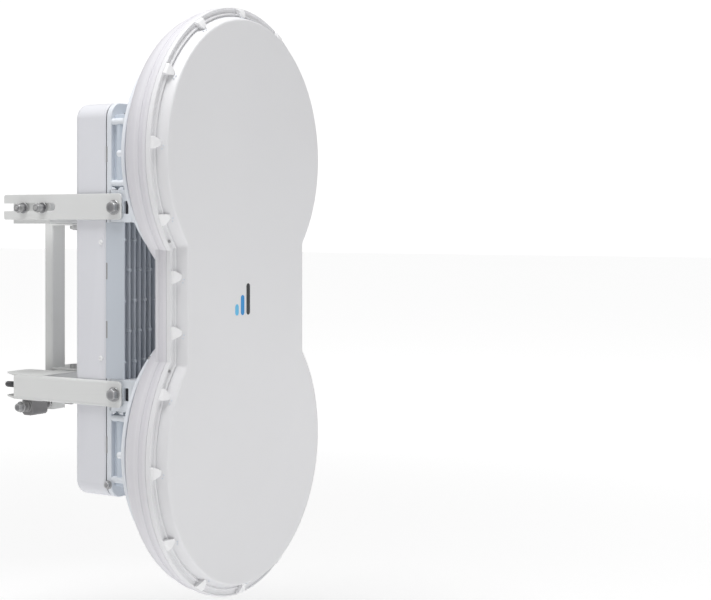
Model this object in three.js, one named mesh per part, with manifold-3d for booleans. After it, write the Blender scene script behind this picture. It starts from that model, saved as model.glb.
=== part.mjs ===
// Outdoor wireless bridge: a tall figure-eight radome over two dishes, a finned radio housing behind
// them, and a yoke that turns and tilts the radio on an upright channel.
// Millimetres. +X right seen from the front, -Y front (radome), +Y rear (pole side), +Z up.
// The unit is drawn with the radome's face at Y = 0, then moved so that the origin is the middle of
// the channel's rear face, which lies against the pole.

import * as THREE from 'three';
import { mergeVertices } from 'three/addons/utils/BufferGeometryUtils.js';
import Module from 'manifold-3d';

const wasm = await Module();
wasm.setup();

// ---- driving dimensions -------------------------------------------------------------------------

const gap = 0.3; // between pieces that touch on the real unit

const lobeHeight = 232; // lobe centre above and below the middle
const faceRadius = 215; // flat face of each lobe
const neckHalf = 163; // flat face at the neck
const neckFillet = 34; // hollow corner where lobe and neck meet
const rimOut = 22; // flange edge outside the face outline

const flangeBack = 26.7; // rear of the radome's flange
const gasketThick = 2;
const frameFront = flangeBack + 2 * gap + gasketThick;
const frameBack = 50;
const frameWall = 3;
const dishOpening = 201; // holes in the antenna frame
const shellRadius = 231;
const shellBack = 100;
const ringFront = 104;
const ringBack = 111;
const ringRadius = 189;
const seatRadius = 150;
const ringBore = 16; // clears the feed tube

const housingHalf = 103; // half the housing's width
const housingTop = 320; // half the housing's height
const housingCorner = 25;
const finFront = 171;
const finDepth = 25;
const finPitch = 12.6;
const finThick = 4;
const finTop = 126;
const bossFront = 140;
const bossTop = 178;
const towerRadius = 56; // tubes that carry the feeds
const towerBore = 46;
const plateFront = 198; // housing's front plate
const plateBack = 207.7;
const coverFront = 209.5;
const coverBack = 276;
const coverWall = 3;
const coverEdge = 12;
const boardFront = 224;

const pivotY = 187; // tilt bolts
const pivotZ = 150;
const armInner = 107;
const armOuter = 110;
const armFront = 172;
const upperArmBack = 424;
const lowerArmBack = 402;
const armHalf = 21; // half the arm's height
const slotZ = 151.5; // slot's middle, a little above its bolts so that the tilt's arc fits
const slotHalf = 6.3;
const slotFront = 311;
const slotBoltY = [337, 379];
const slotBoltRadius = 4;
const slotBoltEnd = 130;
const pivotBoltRadius = 6;

const swivelY = 360; // upright axis of the azimuth swivel
const channelHalf = 17.5;
const channelFront = 396;
const channelBack = 415;
const channelWall = 2.5;
const channelTop = 158;
const channelBottom = -198;
const sheet = 3; // bracket sheet
const crossbarFloor = 124;
const crossbarFront = 325;
const notchHalf = 30;
const notchFront = 388;
const screwY = 405.5; // azimuth screw
const screwZ = -187;
const screwRadius = 3;
const screwHole = 7.4; // in the channel, wide enough for the swivel's arc
const screwLeft = -97; // end of the screw's head
const swivelBoltRadius = 5;
const yokeWeb = 340; // the lower yoke's cross web
const studX = 92; // studs for a pole clamp
const studZ = -149;
const studEnd = 434;
const studRadius = 5;
const adjusterX = -53; // the adjuster block's fixing bolt
const adjusterLeft = -72;
const adjusterRight = -33;
const adjusterBoltRadius = 3;

// ---- materials ----------------------------------------------------------------------------------

const finish = (color, roughness, metalness) => new THREE.MeshStandardMaterial({ color, roughness, metalness });

const radomeWhite = finish(0xdcdde0, 0.42, 0);
const shellWhite = finish(0xe4e4ea, 0.45, 0);
const castWhite = finish(0xdfe4ea, 0.5, 0.1);
const coverWhite = finish(0xd8d9de, 0.42, 0);
const bracketWhite = finish(0xd2d2cf, 0.4, 0.1);
const zincSteel = finish(0x77777a, 0.4, 0.9);
const darkSteel = finish(0x4a4a4e, 0.45, 0.9);
const dishMetal = finish(0xb9bcc0, 0.3, 1);
const sealRubber = finish(0x26272a, 0.85, 0);
const feedPlastic = finish(0xf0efe9, 0.5, 0);
const boardGreen = finish(0x1f5a3a, 0.6, 0.1);
const canSteel = finish(0xaeb2b5, 0.35, 0.9);
const portBlack = finish(0x1d1e20, 0.6, 0);

// ---- solids -------------------------------------------------------------------------------------

function toSolid(geometry) {
  geometry.deleteAttribute('normal');
  geometry.deleteAttribute('uv');
  const merged = mergeVertices(geometry, 1e-4);
  const mesh = new wasm.Mesh({
    numProp: 3,
    vertProperties: new Float32Array(merged.attributes.position.array),
    triVerts: new Uint32Array(merged.index.array),
  });
  return new wasm.Manifold(mesh);
}

function toMesh(name, solid, material) {
  const cut = solid.getMesh();
  const geometry = new THREE.BufferGeometry();
  geometry.setAttribute('position', new THREE.BufferAttribute(new Float32Array(cut.vertProperties), 3));
  geometry.setIndex(new THREE.BufferAttribute(new Uint32Array(cut.triVerts), 1));
  geometry.computeVertexNormals();
  const mesh = new THREE.Mesh(geometry, material);
  mesh.name = name;
  return mesh;
}

const axisX = new THREE.Vector3(1, 0, 0);
const axisY = new THREE.Vector3(0, 1, 0);
const axisZ = new THREE.Vector3(0, 0, 1);

// A shape drawn in X and Z, made solid from y0 to y1.
function slabY(shape, y0, y1, curveSegments = 8) {
  const geometry = new THREE.ExtrudeGeometry(shape, { depth: y1 - y0, bevelEnabled: false, curveSegments });
  geometry.applyMatrix4(new THREE.Matrix4().makeBasis(axisX, axisZ, axisY.clone().negate()));
  geometry.translate(0, y1, 0);
  return toSolid(geometry);
}

// A shape drawn in Y and Z, made solid from x0 to x1.
function slabX(shape, x0, x1, curveSegments = 8) {
  const geometry = new THREE.ExtrudeGeometry(shape, { depth: x1 - x0, bevelEnabled: false, curveSegments });
  geometry.applyMatrix4(new THREE.Matrix4().makeBasis(axisY, axisZ, axisX));
  geometry.translate(x0, 0, 0);
  return toSolid(geometry);
}

// A shape drawn in X and Y, made solid from z0 to z1.
function slabZ(shape, z0, z1) {
  const geometry = new THREE.ExtrudeGeometry(shape, { depth: z1 - z0, bevelEnabled: false, curveSegments: 8 });
  geometry.translate(0, 0, z0);
  return toSolid(geometry);
}

function block(x0, x1, y0, y1, z0, z1) {
  const geometry = new THREE.BoxGeometry(x1 - x0, y1 - y0, z1 - z0);
  geometry.translate((x0 + x1) / 2, (y0 + y1) / 2, (z0 + z1) / 2);
  return toSolid(geometry);
}

function rodX(x0, x1, y, z, radius, sides = 16, endRadius = radius) {
  const geometry = new THREE.CylinderGeometry(radius, endRadius, x1 - x0, sides);
  geometry.rotateZ(Math.PI / 2);
  geometry.translate((x0 + x1) / 2, y, z);
  return toSolid(geometry);
}

function rodY(y0, y1, x, z, radius, sides = 16) {
  const geometry = new THREE.CylinderGeometry(radius, radius, y1 - y0, sides);
  geometry.translate(x, (y0 + y1) / 2, z);
  return toSolid(geometry);
}

function rodZ(z0, z1, x, y, radius, sides = 16) {
  const geometry = new THREE.CylinderGeometry(radius, radius, z1 - z0, sides);
  geometry.rotateX(Math.PI / 2);
  geometry.translate(x, y, (z0 + z1) / 2);
  return toSolid(geometry);
}

// A profile of [radius, y] points turned about a line along Y at height z.
function turned(profile, z, sides = 30) {
  const points = profile.map(([radius, y]) => new THREE.Vector2(radius, y));
  const geometry = new THREE.LatheGeometry([...points, points[0]], sides);
  geometry.translate(0, 0, z);
  const solid = toSolid(geometry);
  return solid.volume() > 0 ? solid : toSolid(flipped(geometry));
}

function flipped(geometry) {
  const index = geometry.index.array;
  for (let i = 0; i < index.length; i += 3) [index[i], index[i + 1]] = [index[i + 1], index[i]];
  return geometry;
}

function roundedRect(halfWidth, halfHeight, corner) {
  const shape = new THREE.Shape();
  const right = halfWidth - corner;
  const top = halfHeight - corner;
  shape.absarc(right, top, corner, 0, Math.PI / 2, false);
  shape.absarc(-right, top, corner, Math.PI / 2, Math.PI, false);
  shape.absarc(-right, -top, corner, Math.PI, Math.PI * 1.5, false);
  shape.absarc(right, -top, corner, Math.PI * 1.5, Math.PI * 2, false);
  shape.closePath();
  return shape;
}

function polygon(points) {
  return new THREE.Shape(points.map(([x, y]) => new THREE.Vector2(x, y)));
}

function mirrorX(solid) {
  return solid.mirror([1, 0, 0]);
}

// ---- figure-eight outline -----------------------------------------------------------------------

// The outline, moved outwards by `out`: two lobes, joined to a straight neck by hollow fillets.
function eightPoints(out, lobeSteps = 20, filletSteps = 2) {
  const reach = faceRadius + neckFillet;
  const filletX = neckHalf + neckFillet;
  const filletZ = lobeHeight - Math.sqrt(reach * reach - filletX * filletX);
  const lobe = faceRadius + out;
  const fillet = neckFillet - out;
  const start = Math.atan2(filletZ - lobeHeight, filletX);
  const quarter = [];
  for (let i = 0; i <= lobeSteps / 2; i += 1) {
    const angle = Math.PI / 2 + (start - Math.PI / 2) * (i / (lobeSteps / 2));
    quarter.push([lobe * Math.cos(angle), lobeHeight + lobe * Math.sin(angle)]);
  }
  for (let i = 1; i <= filletSteps; i += 1) {
    const angle = Math.PI + start * (1 - i / filletSteps);
    quarter.push([filletX + fillet * Math.cos(angle), filletZ + fillet * Math.sin(angle)]);
  }
  const lower = quarter.map(([x, z]) => [x, -z]).reverse();
  const right = [...quarter, ...lower];
  const left = right.slice(1, -1).map(([x, z]) => [-x, z]).reverse();
  return [...right, ...left];
}

// A body whose section is a row of [out, y] points carried round the outline. An open section gets
// a flat cap at each end; a closed one makes a ring.
function eightBody(section, closed) {
  const rings = section.map(([out, y]) => eightPoints(out).map(([x, z]) => [x, y, z]));
  const count = rings[0].length;
  const positions = rings.flat(2);
  const index = [];
  const last = closed ? rings.length : rings.length - 1;
  for (let r = 0; r < last; r += 1) {
    const next = (r + 1) % rings.length;
    for (let i = 0; i < count; i += 1) {
      const j = (i + 1) % count;
      const [a, b, c, d] = [r * count + i, r * count + j, next * count + j, next * count + i];
      index.push(a, b, c, a, c, d);
    }
  }
  if (!closed) {
    const flat = rings[0].map(([x, , z]) => new THREE.Vector2(x, z));
    const clockwise = THREE.ShapeUtils.isClockWise(flat);
    for (const triangle of THREE.ShapeUtils.triangulateShape(flat, [])) {
      const corners = triangle.map((i) => flat[i]);
      const [a, b, c] = THREE.ShapeUtils.isClockWise(corners) === clockwise ? triangle : [...triangle].reverse();
      const end = (rings.length - 1) * count;
      index.push(a, c, b, end + a, end + b, end + c);
    }
  }
  const geometry = new THREE.BufferGeometry();
  geometry.setAttribute('position', new THREE.Float32BufferAttribute(positions, 3));
  geometry.setIndex(index);
  const solid = toSolid(geometry);
  return solid.volume() > 0 ? solid : toSolid(flipped(geometry));
}

// ---- antenna ------------------------------------------------------------------------------------

function frontRadome() {
  const outside = [[0, 0], [4, 1], [6, 5], [9, 18.5], [12, 20.5], [rimOut, 20.5], [rimOut, flangeBack]];
  const inside = [[6, flangeBack], [3, 6], [0, 3.2]];
  return eightBody([...outside, ...inside], false);
}

function radomeGasket() {
  const front = flangeBack + gap;
  const back = front + gasketThick;
  return eightBody([[8, front], [19, front], [19, back], [8, back]], true);
}

function antennaFrame() {
  const wall = [[rimOut, frameFront], [rimOut, 33], [19, 34.5], [19, frameBack]];
  const solid = eightBody([...wall], false);
  const pocket = eightBody([[15, frameFront - 1], [15, frameBack - frameWall]], false);
  const upper = rodY(frameFront, frameBack + 1, 0, lobeHeight, dishOpening, 32);
  const lower = rodY(frameFront, frameBack + 1, 0, -lobeHeight, dishOpening, 32);
  return solid.subtract(pocket).subtract(upper).subtract(lower);
}

function dishShell(z) {
  const front = frameBack + gap;
  const outside = [[shellRadius, front], [229, 60], [222, 72], [206, 88], [186, shellBack]];
  const inside = [[20, shellBack], [20, shellBack - 3], [184, shellBack - 3], [203, 85.5], [219, 70]];
  return turned([...outside, ...inside, [226, 59], [226, front]], z);
}

function reflector(z) {
  const rim = 198;
  const depth = 54;
  const vertex = shellBack - 6;
  const steps = 4;
  const front = [];
  const back = [];
  for (let i = 0; i <= steps; i += 1) {
    const radius = 16 + (rim - 16) * (i / steps);
    const y = vertex - depth * (radius / rim) ** 2;
    front.push([radius, y]);
    back.unshift([radius, y + 2]);
  }
  return turned([...front, ...back], z, 28);
}

function feedTube(z) {
  const outside = [[9, 22], [9, 60], [14, 66], [14, ringBack]];
  const inside = [[6, ringBack], [6, 22]];
  return turned([...outside, ...inside], z, 16);
}

function subreflector(z) {
  return turned([[0, 10], [30, 12], [30, 15], [12, 21.7], [0, 21.7]], z, 20);
}

// A disc behind the shell, standing off it on a raised seat so that a thin gap shows round its edge.
function mountingRing(z) {
  const seatFront = shellBack + gap;
  const front = [[ringBore, seatFront], [seatRadius, seatFront], [seatRadius, ringFront], [ringRadius, ringFront]];
  return turned([...front, [ringRadius, ringBack], [ringBore, ringBack]], z);
}

// ---- radio housing ------------------------------------------------------------------------------

function fins() {
  let solid = block(-housingHalf, housingHalf, finFront + finDepth, plateFront + 1, -finTop - 1, finTop + 1);
  const count = Math.floor((2 * (housingHalf - finThick / 2)) / finPitch);
  for (let i = 0; i <= count; i += 1) {
    const x = -housingHalf + finThick / 2 + (i * 2 * (housingHalf - finThick / 2)) / count;
    const fin = block(x - finThick / 2, x + finThick / 2, finFront, plateFront, -finTop - 1, finTop + 1);
    solid = solid.add(fin);
  }
  return solid;
}

// The pair of bosses at one height that take the tilt bolts, with a pocket in each end.
function pivotBoss(side) {
  const z0 = side > 0 ? finTop : -bossTop;
  let solid = block(-housingHalf, housingHalf, bossFront, plateFront + 1, z0, z0 + bossTop - finTop);
  for (const end of [-1, 1]) {
    const [x0, x1] = end > 0 ? [housingHalf - 1, armInner - 0.4] : [-armInner + 0.4, -housingHalf + 1];
    solid = solid.add(rodX(x0, x1, pivotY, side * pivotZ, 14));
    const [p0, p1] = end > 0 ? [92, housingHalf + 1] : [-housingHalf - 1, -92];
    solid = solid.subtract(block(p0, p1, 163, 171, side * pivotZ - 10, side * pivotZ + 10));
    const [h0, h1] = end > 0 ? [82, armInner] : [-armInner, -82];
    solid = solid.subtract(rodX(h0, h1, pivotY, side * pivotZ, pivotBoltRadius + gap));
  }
  return solid;
}

// The part of the casting behind one dish: a tube up to the mounting ring, ribs, and posts at their ends.
function dishTower(side) {
  const z = side * lobeHeight;
  const near = side > 0 ? bossTop - 1 : -300;
  let solid = block(-92, 92, finFront, plateFront + 1, near, near + 300 - bossTop + 1);
  for (const [low, high] of [[184, 195], [283, 294]]) {
    const [z0, z1] = side > 0 ? [low, high] : [-high, -low];
    solid = solid.add(block(-housingHalf, housingHalf, finFront + 2, plateFront + 1, z0, z1));
    solid = solid.add(block(-housingHalf, -housingHalf + 8, ringBack + gap, finFront + 3, z0, z1));
    solid = solid.add(block(housingHalf - 8, housingHalf, ringBack + gap, finFront + 3, z0, z1));
  }
  solid = solid.add(rodY(ringBack + gap, plateFront, 0, z, towerRadius, 28));
  return solid.subtract(rodY(ringBack - 1, plateBack - 6, 0, z, towerBore, 28));
}

// Cored out from the rear, so that the boss is a thin-walled box.
function bossCore(side) {
  const z0 = side > 0 ? finTop : -bossTop;
  return block(-78, 78, bossFront + 4, plateBack + 1, z0 + 4, z0 + bossTop - finTop - 4);
}

function housingCasting() {
  const plate = slabY(roundedRect(housingHalf, housingTop, housingCorner), plateFront, plateBack, 5);
  let solid = plate.add(fins()).add(dishTower(1)).add(dishTower(-1));
  solid = solid.add(pivotBoss(1)).add(pivotBoss(-1)).subtract(bossCore(1)).subtract(bossCore(-1));
  const groundHole = rodX(-housingHalf - 1, -housingHalf + 14, 203, -297, 3.3, 12);
  return solid.subtract(groundHole);
}

function coverGasket() {
  const outer = roundedRect(housingHalf - 1.6, housingTop - 1.6, housingCorner - 1.6);
  outer.holes.push(roundedRect(housingHalf - 7, housingTop - 7, housingCorner - 7));
  return slabY(outer, plateBack + gap, coverFront - gap, 4);
}

function rearCover() {
  const depth = coverBack - coverFront - coverEdge;
  const core = roundedRect(housingHalf - coverEdge, housingTop - coverEdge, housingCorner - coverEdge);
  const geometry = new THREE.ExtrudeGeometry(core, {
    depth,
    bevelEnabled: true,
    bevelThickness: coverEdge,
    bevelSize: coverEdge,
    bevelSegments: 3,
    curveSegments: 4,
  });
  geometry.applyMatrix4(new THREE.Matrix4().makeBasis(axisX, axisZ, axisY.clone().negate()));
  geometry.translate(0, coverBack - coverEdge, 0);
  const inner = roundedRect(housingHalf - coverWall, housingTop - coverWall, housingCorner - coverWall);
  const front = block(-200, 200, 0, coverFront, -400, 400);
  const portOpening = block(-52, 52, 232, 258, -housingTop - 1, -housingTop + 6);
  let solid = toSolid(geometry).subtract(front).subtract(slabY(inner, coverFront - 1, coverBack - coverWall - 6, 4));
  solid = solid.subtract(portOpening);
  for (const x of [-1, 1]) {
    for (const z of [-94, 94]) {
      const [x0, x1] = x > 0 ? [housingHalf - 5, housingHalf + 1] : [-housingHalf - 1, -housingHalf + 5];
      solid = solid.subtract(rodX(x0, x1, 219, z, 2.3, 12));
    }
  }
  return solid;
}

function coverScrew(side, z) {
  const head = rodX(housingHalf + gap, housingHalf + 2.4, 219, z, 4.2, 14);
  const shank = rodX(housingHalf - 6, housingHalf + 1, 219, z, 2, 12);
  const screw = head.add(shank);
  return side > 0 ? screw : mirrorX(screw);
}

function mainBoard() {
  return block(-88, 88, boardFront, boardFront + 1.8, -290, 300);
}

function shieldCan(z0, z1) {
  const front = boardFront + 1.8 + gap;
  const can = block(-70, 70, front, front + 14, z0, z1);
  return can.subtract(block(-68.8, 68.8, front - 1, front + 12.8, z0 + 1.2, z1 - 1.2));
}

function powerModule() {
  const front = boardFront + 1.8 + gap;
  const body = block(-60, 60, front, front + 22, -52, 48);
  return body.subtract(block(-57, 57, front - 1, front + 3, -49, 45));
}

function gpsPatch() {
  const front = boardFront + 1.8 + gap;
  return block(-14, 14, front, front + 7, 262, 290);
}

// Three cable sockets in one moulding, open downwards.
function portBlock() {
  const front = boardFront + 1.8 + gap;
  let solid = block(-48, 48, front, front + 24, -housingTop + 8, -housingTop + 30);
  for (const x of [-31, 0, 31]) {
    solid = solid.subtract(block(x - 8, x + 8, front + 6, front + 20, -housingTop + 7, -housingTop + 26));
  }
  return solid;
}

function groundScrew() {
  const head = rodX(-housingHalf - 7, -housingHalf - gap, 203, -297, 6.4, 6);
  const shank = rodX(-housingHalf - 1, -housingHalf + 12, 203, -297, 3, 12);
  return head.add(shank);
}

// ---- tilt and swivel bracket --------------------------------------------------------------------

function armOutline(front, back, z) {
  return polygon([
    [front, z - armHalf],
    [back, z - armHalf],
    [back, z + armHalf],
    [front, z + armHalf],
  ]);
}

function upperArm(side) {
  const plate = slabX(armOutline(armFront, upperArmBack, slotZ), armInner, armOuter);
  const slot = block(armInner - 1, armOuter + 1, slotFront + slotHalf, upperArmBack + 1, slotZ - slotHalf, slotZ + slotHalf);
  const slotEnd = rodX(armInner - 1, armOuter + 1, slotFront + slotHalf, slotZ, slotHalf);
  const hole = rodX(armInner - 1, armOuter + 1, pivotY, pivotZ, pivotBoltRadius + gap + 0.1);
  const arm = plate.subtract(slot).subtract(slotEnd).subtract(hole);
  return side > 0 ? arm : mirrorX(arm);
}

function pivotBolt(side, z) {
  const washer = rodX(armOuter + gap, armOuter + 2, pivotY, z, 12, 24);
  const head = rodX(armOuter + 1.9, armOuter + 9.5, pivotY, z, 10.6, 6);
  const shank = rodX(84, armOuter + 3, pivotY, z, pivotBoltRadius);
  const bolt = washer.add(head).add(shank);
  return side > 0 ? bolt : mirrorX(bolt);
}

function slotBolt(side, y) {
  const tab = armInner - gap - sheet;
  const head = rodX(tab - 7, tab - gap, y, pivotZ, 7.2, 6);
  const shank = rodX(tab - 1, slotBoltEnd, y, pivotZ, slotBoltRadius, 18);
  const bolt = head.add(shank);
  return side > 0 ? bolt : mirrorX(bolt);
}

function slotNut(side, y) {
  const washer = rodX(armOuter + gap, armOuter + 2.2, y, pivotZ, 9, 20);
  const sleeve = rodX(armOuter + 2.1, slotBoltEnd - 9, y, pivotZ, 6.2, 20);
  const nut = rodX(slotBoltEnd - 9.1, slotBoltEnd - 1.5, y, pivotZ, 7.8, 6);
  const bore = rodX(armOuter, slotBoltEnd, y, pivotZ, slotBoltRadius + 0.2, 18);
  const solid = washer.add(sleeve).add(nut).subtract(bore);
  return side > 0 ? solid : mirrorX(solid);
}

// Plan of a bracket plate: full width in front, with a notch for the channel in its rear edge.
function notchedPlan(half, front, shoulder, back, backHalf) {
  return polygon([
    [-half, front],
    [half, front],
    [half, shoulder],
    [backHalf, back],
    [notchHalf, back],
    [notchHalf, notchFront],
    [-notchHalf, notchFront],
    [-notchHalf, back],
    [-backHalf, back],
    [-half, shoulder],
  ]);
}

function upperCrossbar() {
  const half = armInner - gap;
  const top = slotZ + 14;
  let solid = slabZ(notchedPlan(half, crossbarFront, 405, 424, 86), crossbarFloor, crossbarFloor + sheet);
  solid = solid.add(block(-half, half, crossbarFront, crossbarFront + sheet, crossbarFloor, top));
  for (const side of [-1, 1]) {
    const [x0, x1] = side > 0 ? [half - sheet, half] : [-half, -half + sheet];
    solid = solid.add(block(x0, x1, crossbarFront, 405, crossbarFloor, top));
    for (const y of slotBoltY) solid = solid.subtract(rodX(x0 - 1, x1 + 1, y, pivotZ, slotBoltRadius + gap, 18));
  }
  return solid.subtract(rodZ(crossbarFloor - 1, crossbarFloor + sheet + 1, 0, swivelY, swivelBoltRadius + gap));
}

function lowerYoke() {
  const z = -pivotZ;
  const [bottom, top] = [z - armHalf, z + armHalf];
  const plan = notchedPlan(armOuter, yokeWeb, lowerArmBack, 440, 82);
  let solid = slabZ(plan, top - sheet, top).add(slabZ(plan, bottom, bottom + sheet));
  solid = solid.add(block(-armOuter, armOuter, yokeWeb, yokeWeb + sheet, bottom, top));
  for (const side of [-1, 1]) {
    const [x0, x1] = side > 0 ? [armInner, armOuter] : [-armOuter, -armInner];
    solid = solid.add(slabX(armOutline(armFront, lowerArmBack, z), x0, x1));
    solid = solid.subtract(rodX(x0 - 1, x1 + 1, pivotY, z, pivotBoltRadius + gap + 0.1));
    const [f0, f1] = side > 0 ? [armInner - 9, armOuter] : [-armOuter, -armInner + 9];
    solid = solid.add(block(f0, f1, 290, yokeWeb + 1, top - sheet, top));
    solid = solid.add(block(f0, f1, 290, yokeWeb + 1, bottom, bottom + sheet));
    solid = solid.subtract(rodY(yokeWeb - 1, yokeWeb + sheet + 1, side * studX, studZ, studRadius + gap));
  }
  solid = solid.subtract(rodZ(top - sheet - 1, top + 1, 0, swivelY, swivelBoltRadius + gap));
  return solid.subtract(rodZ(bottom - 1, bottom + sheet + 1, adjusterX, screwY, adjusterBoltRadius + gap));
}

function poleChannel() {
  const outline = polygon([
    [-channelHalf, channelFront],
    [channelHalf, channelFront],
    [channelHalf, channelBack],
    [-channelHalf, channelBack],
  ]);
  const inner = block(
    -channelHalf + channelWall,
    channelHalf - channelWall,
    channelFront + channelWall,
    channelBack - channelWall,
    channelBottom - 1,
    channelTop + 1,
  );
  let solid = slabZ(outline, channelBottom, channelTop);
  for (const z of [crossbarFloor - sheet - gap, -pivotZ + armHalf + gap]) {
    solid = solid.add(block(-channelHalf, channelHalf, swivelY - 14, channelFront + 1, z, z + sheet));
    solid = solid.subtract(rodZ(z - 1, z + sheet + 1, 0, swivelY, swivelBoltRadius + gap));
  }
  solid = solid.subtract(inner);
  solid = solid.subtract(rodX(-channelHalf - 1, channelHalf + 1, screwY, screwZ, screwHole));
  for (const z of [-100, -60, 60, 100]) {
    solid = solid.subtract(rodY(channelBack - channelWall - 1, channelBack + 1, 0, z, 5.2, 18));
  }
  return solid;
}

// Bolt through one bracket plate and the channel's tab beside it, with its nut run on.
function swivelBolt(low, high) {
  const head = rodZ(high + gap, high + 7, 0, swivelY, 9.4, 6);
  const shank = rodZ(low - 8, high + 1, 0, swivelY, swivelBoltRadius);
  const nut = rodZ(low - 6.5, low - gap, 0, swivelY, 9.4, 6);
  return head.add(shank).add(nut);
}

function adjusterBlock() {
  const top = -pivotZ - armHalf - gap;
  const body = block(adjusterLeft, adjusterRight, screwY - 12, screwY + 12, screwZ - 16, top);
  const collar = rodX(adjusterLeft - 6, adjusterLeft + 1, screwY, screwZ, 9);
  const bore = rodX(adjusterLeft - 7, adjusterRight + 1, screwY, screwZ, screwRadius + gap);
  const fixing = rodZ(top - 7, top + 1, adjusterX, screwY, adjusterBoltRadius + gap);
  return body.add(collar).subtract(bore).subtract(fixing);
}

// Holds the block up under the yoke's lower plate.
function adjusterBolt() {
  const plate = -pivotZ - armHalf + sheet;
  const head = rodZ(plate + gap, plate + 5.5, adjusterX, screwY, 6.4, 6);
  const shank = rodZ(plate - sheet - 6, plate + 1, adjusterX, screwY, adjusterBoltRadius);
  return head.add(shank);
}

// Bolt through the yoke's web, pointing back past the channel, with its nut run on.
function clampStud(side) {
  const x = side * studX;
  const head = rodY(yokeWeb - 7.5, yokeWeb - gap, x, studZ, 10.4, 6);
  const nut = rodY(yokeWeb + sheet + gap, yokeWeb + sheet + 10, x, studZ, 10.4, 6);
  return head.add(nut).add(rodY(yokeWeb - 1, studEnd, x, studZ, studRadius));
}

function azimuthScrew() {
  const head = rodX(screwLeft, screwLeft + 8, screwY, screwZ, 8, 6);
  const flange = rodX(screwLeft + 7.9, screwLeft + 10, screwY, screwZ, 9.5);
  const shank = rodX(screwLeft + 9, 52, screwY, screwZ, screwRadius);
  const collar = rodX(-channelHalf - 6, -channelHalf - 2.5, screwY, screwZ, 9);
  return head.add(flange).add(shank).add(collar);
}

function thrustNut() {
  const cone = rodX(channelHalf + 2.5, channelHalf + 28, screwY, screwZ, 5.4, 16, 9);
  return cone.subtract(rodX(channelHalf, channelHalf + 30, screwY, screwZ, screwRadius + 0.2));
}

// ---- assembly -----------------------------------------------------------------------------------

const unit = new THREE.Group();
unit.position.y = -channelBack;

function add(name, solid, material) {
  unit.add(toMesh(name, solid, material));
}

add('front_radome', frontRadome(), radomeWhite);
add('radome_gasket', radomeGasket(), sealRubber);
add('antenna_frame', antennaFrame(), shellWhite);
for (const [level, z] of [['upper', lobeHeight], ['lower', -lobeHeight]]) {
  add(`${level}_dish_shell`, dishShell(z), shellWhite);
  add(`${level}_reflector`, reflector(z), dishMetal);
  add(`${level}_feed_tube`, feedTube(z), dishMetal);
  add(`${level}_subreflector`, subreflector(z), feedPlastic);
  add(`${level}_mounting_ring`, mountingRing(z), castWhite);
}

add('housing_casting', housingCasting(), castWhite);
add('cover_gasket', coverGasket(), sealRubber);
add('rear_cover', rearCover(), coverWhite);
add('main_board', mainBoard(), boardGreen);
add('upper_shield_can', shieldCan(90, 240), canSteel);
add('lower_shield_can', shieldCan(-240, -90), canSteel);
add('power_module', powerModule(), portBlack);
add('gps_patch', gpsPatch(), feedPlastic);
add('port_block', portBlock(), portBlack);
add('ground_screw', groundScrew(), zincSteel);

for (const [sideName, side] of [['left', -1], ['right', 1]]) {
  add(`cover_screw_upper_${sideName}`, coverScrew(side, 94), coverWhite);
  add(`cover_screw_lower_${sideName}`, coverScrew(side, -94), coverWhite);
  add(`upper_arm_${sideName}`, upperArm(side), bracketWhite);
  add(`upper_pivot_bolt_${sideName}`, pivotBolt(side, pivotZ), zincSteel);
  add(`lower_pivot_bolt_${sideName}`, pivotBolt(side, -pivotZ), zincSteel);
  for (const [place, y] of [['front', slotBoltY[0]], ['rear', slotBoltY[1]]]) {
    add(`slot_bolt_${place}_${sideName}`, slotBolt(side, y), zincSteel);
    add(`slot_nut_${place}_${sideName}`, slotNut(side, y), zincSteel);
  }
  add(`clamp_stud_${sideName}`, clampStud(side), darkSteel);
}

add('upper_crossbar', upperCrossbar(), bracketWhite);
add('lower_yoke', lowerYoke(), bracketWhite);
add('pole_channel', poleChannel(), bracketWhite);
add('upper_swivel_bolt', swivelBolt(crossbarFloor - sheet - gap, crossbarFloor + sheet), zincSteel);
add('lower_swivel_bolt', swivelBolt(-pivotZ + armHalf - sheet, -pivotZ + armHalf + gap + sheet), zincSteel);
add('adjuster_block', adjusterBlock(), zincSteel);
add('adjuster_bolt', adjusterBolt(), zincSteel);
add('azimuth_screw', azimuthScrew(), zincSteel);
add('thrust_nut', thrustNut(), darkSteel);

export default unit;
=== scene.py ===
# Outdoor wireless bridge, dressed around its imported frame.
import math

import bmesh
import bpy
from mathutils import Matrix, Vector


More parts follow.
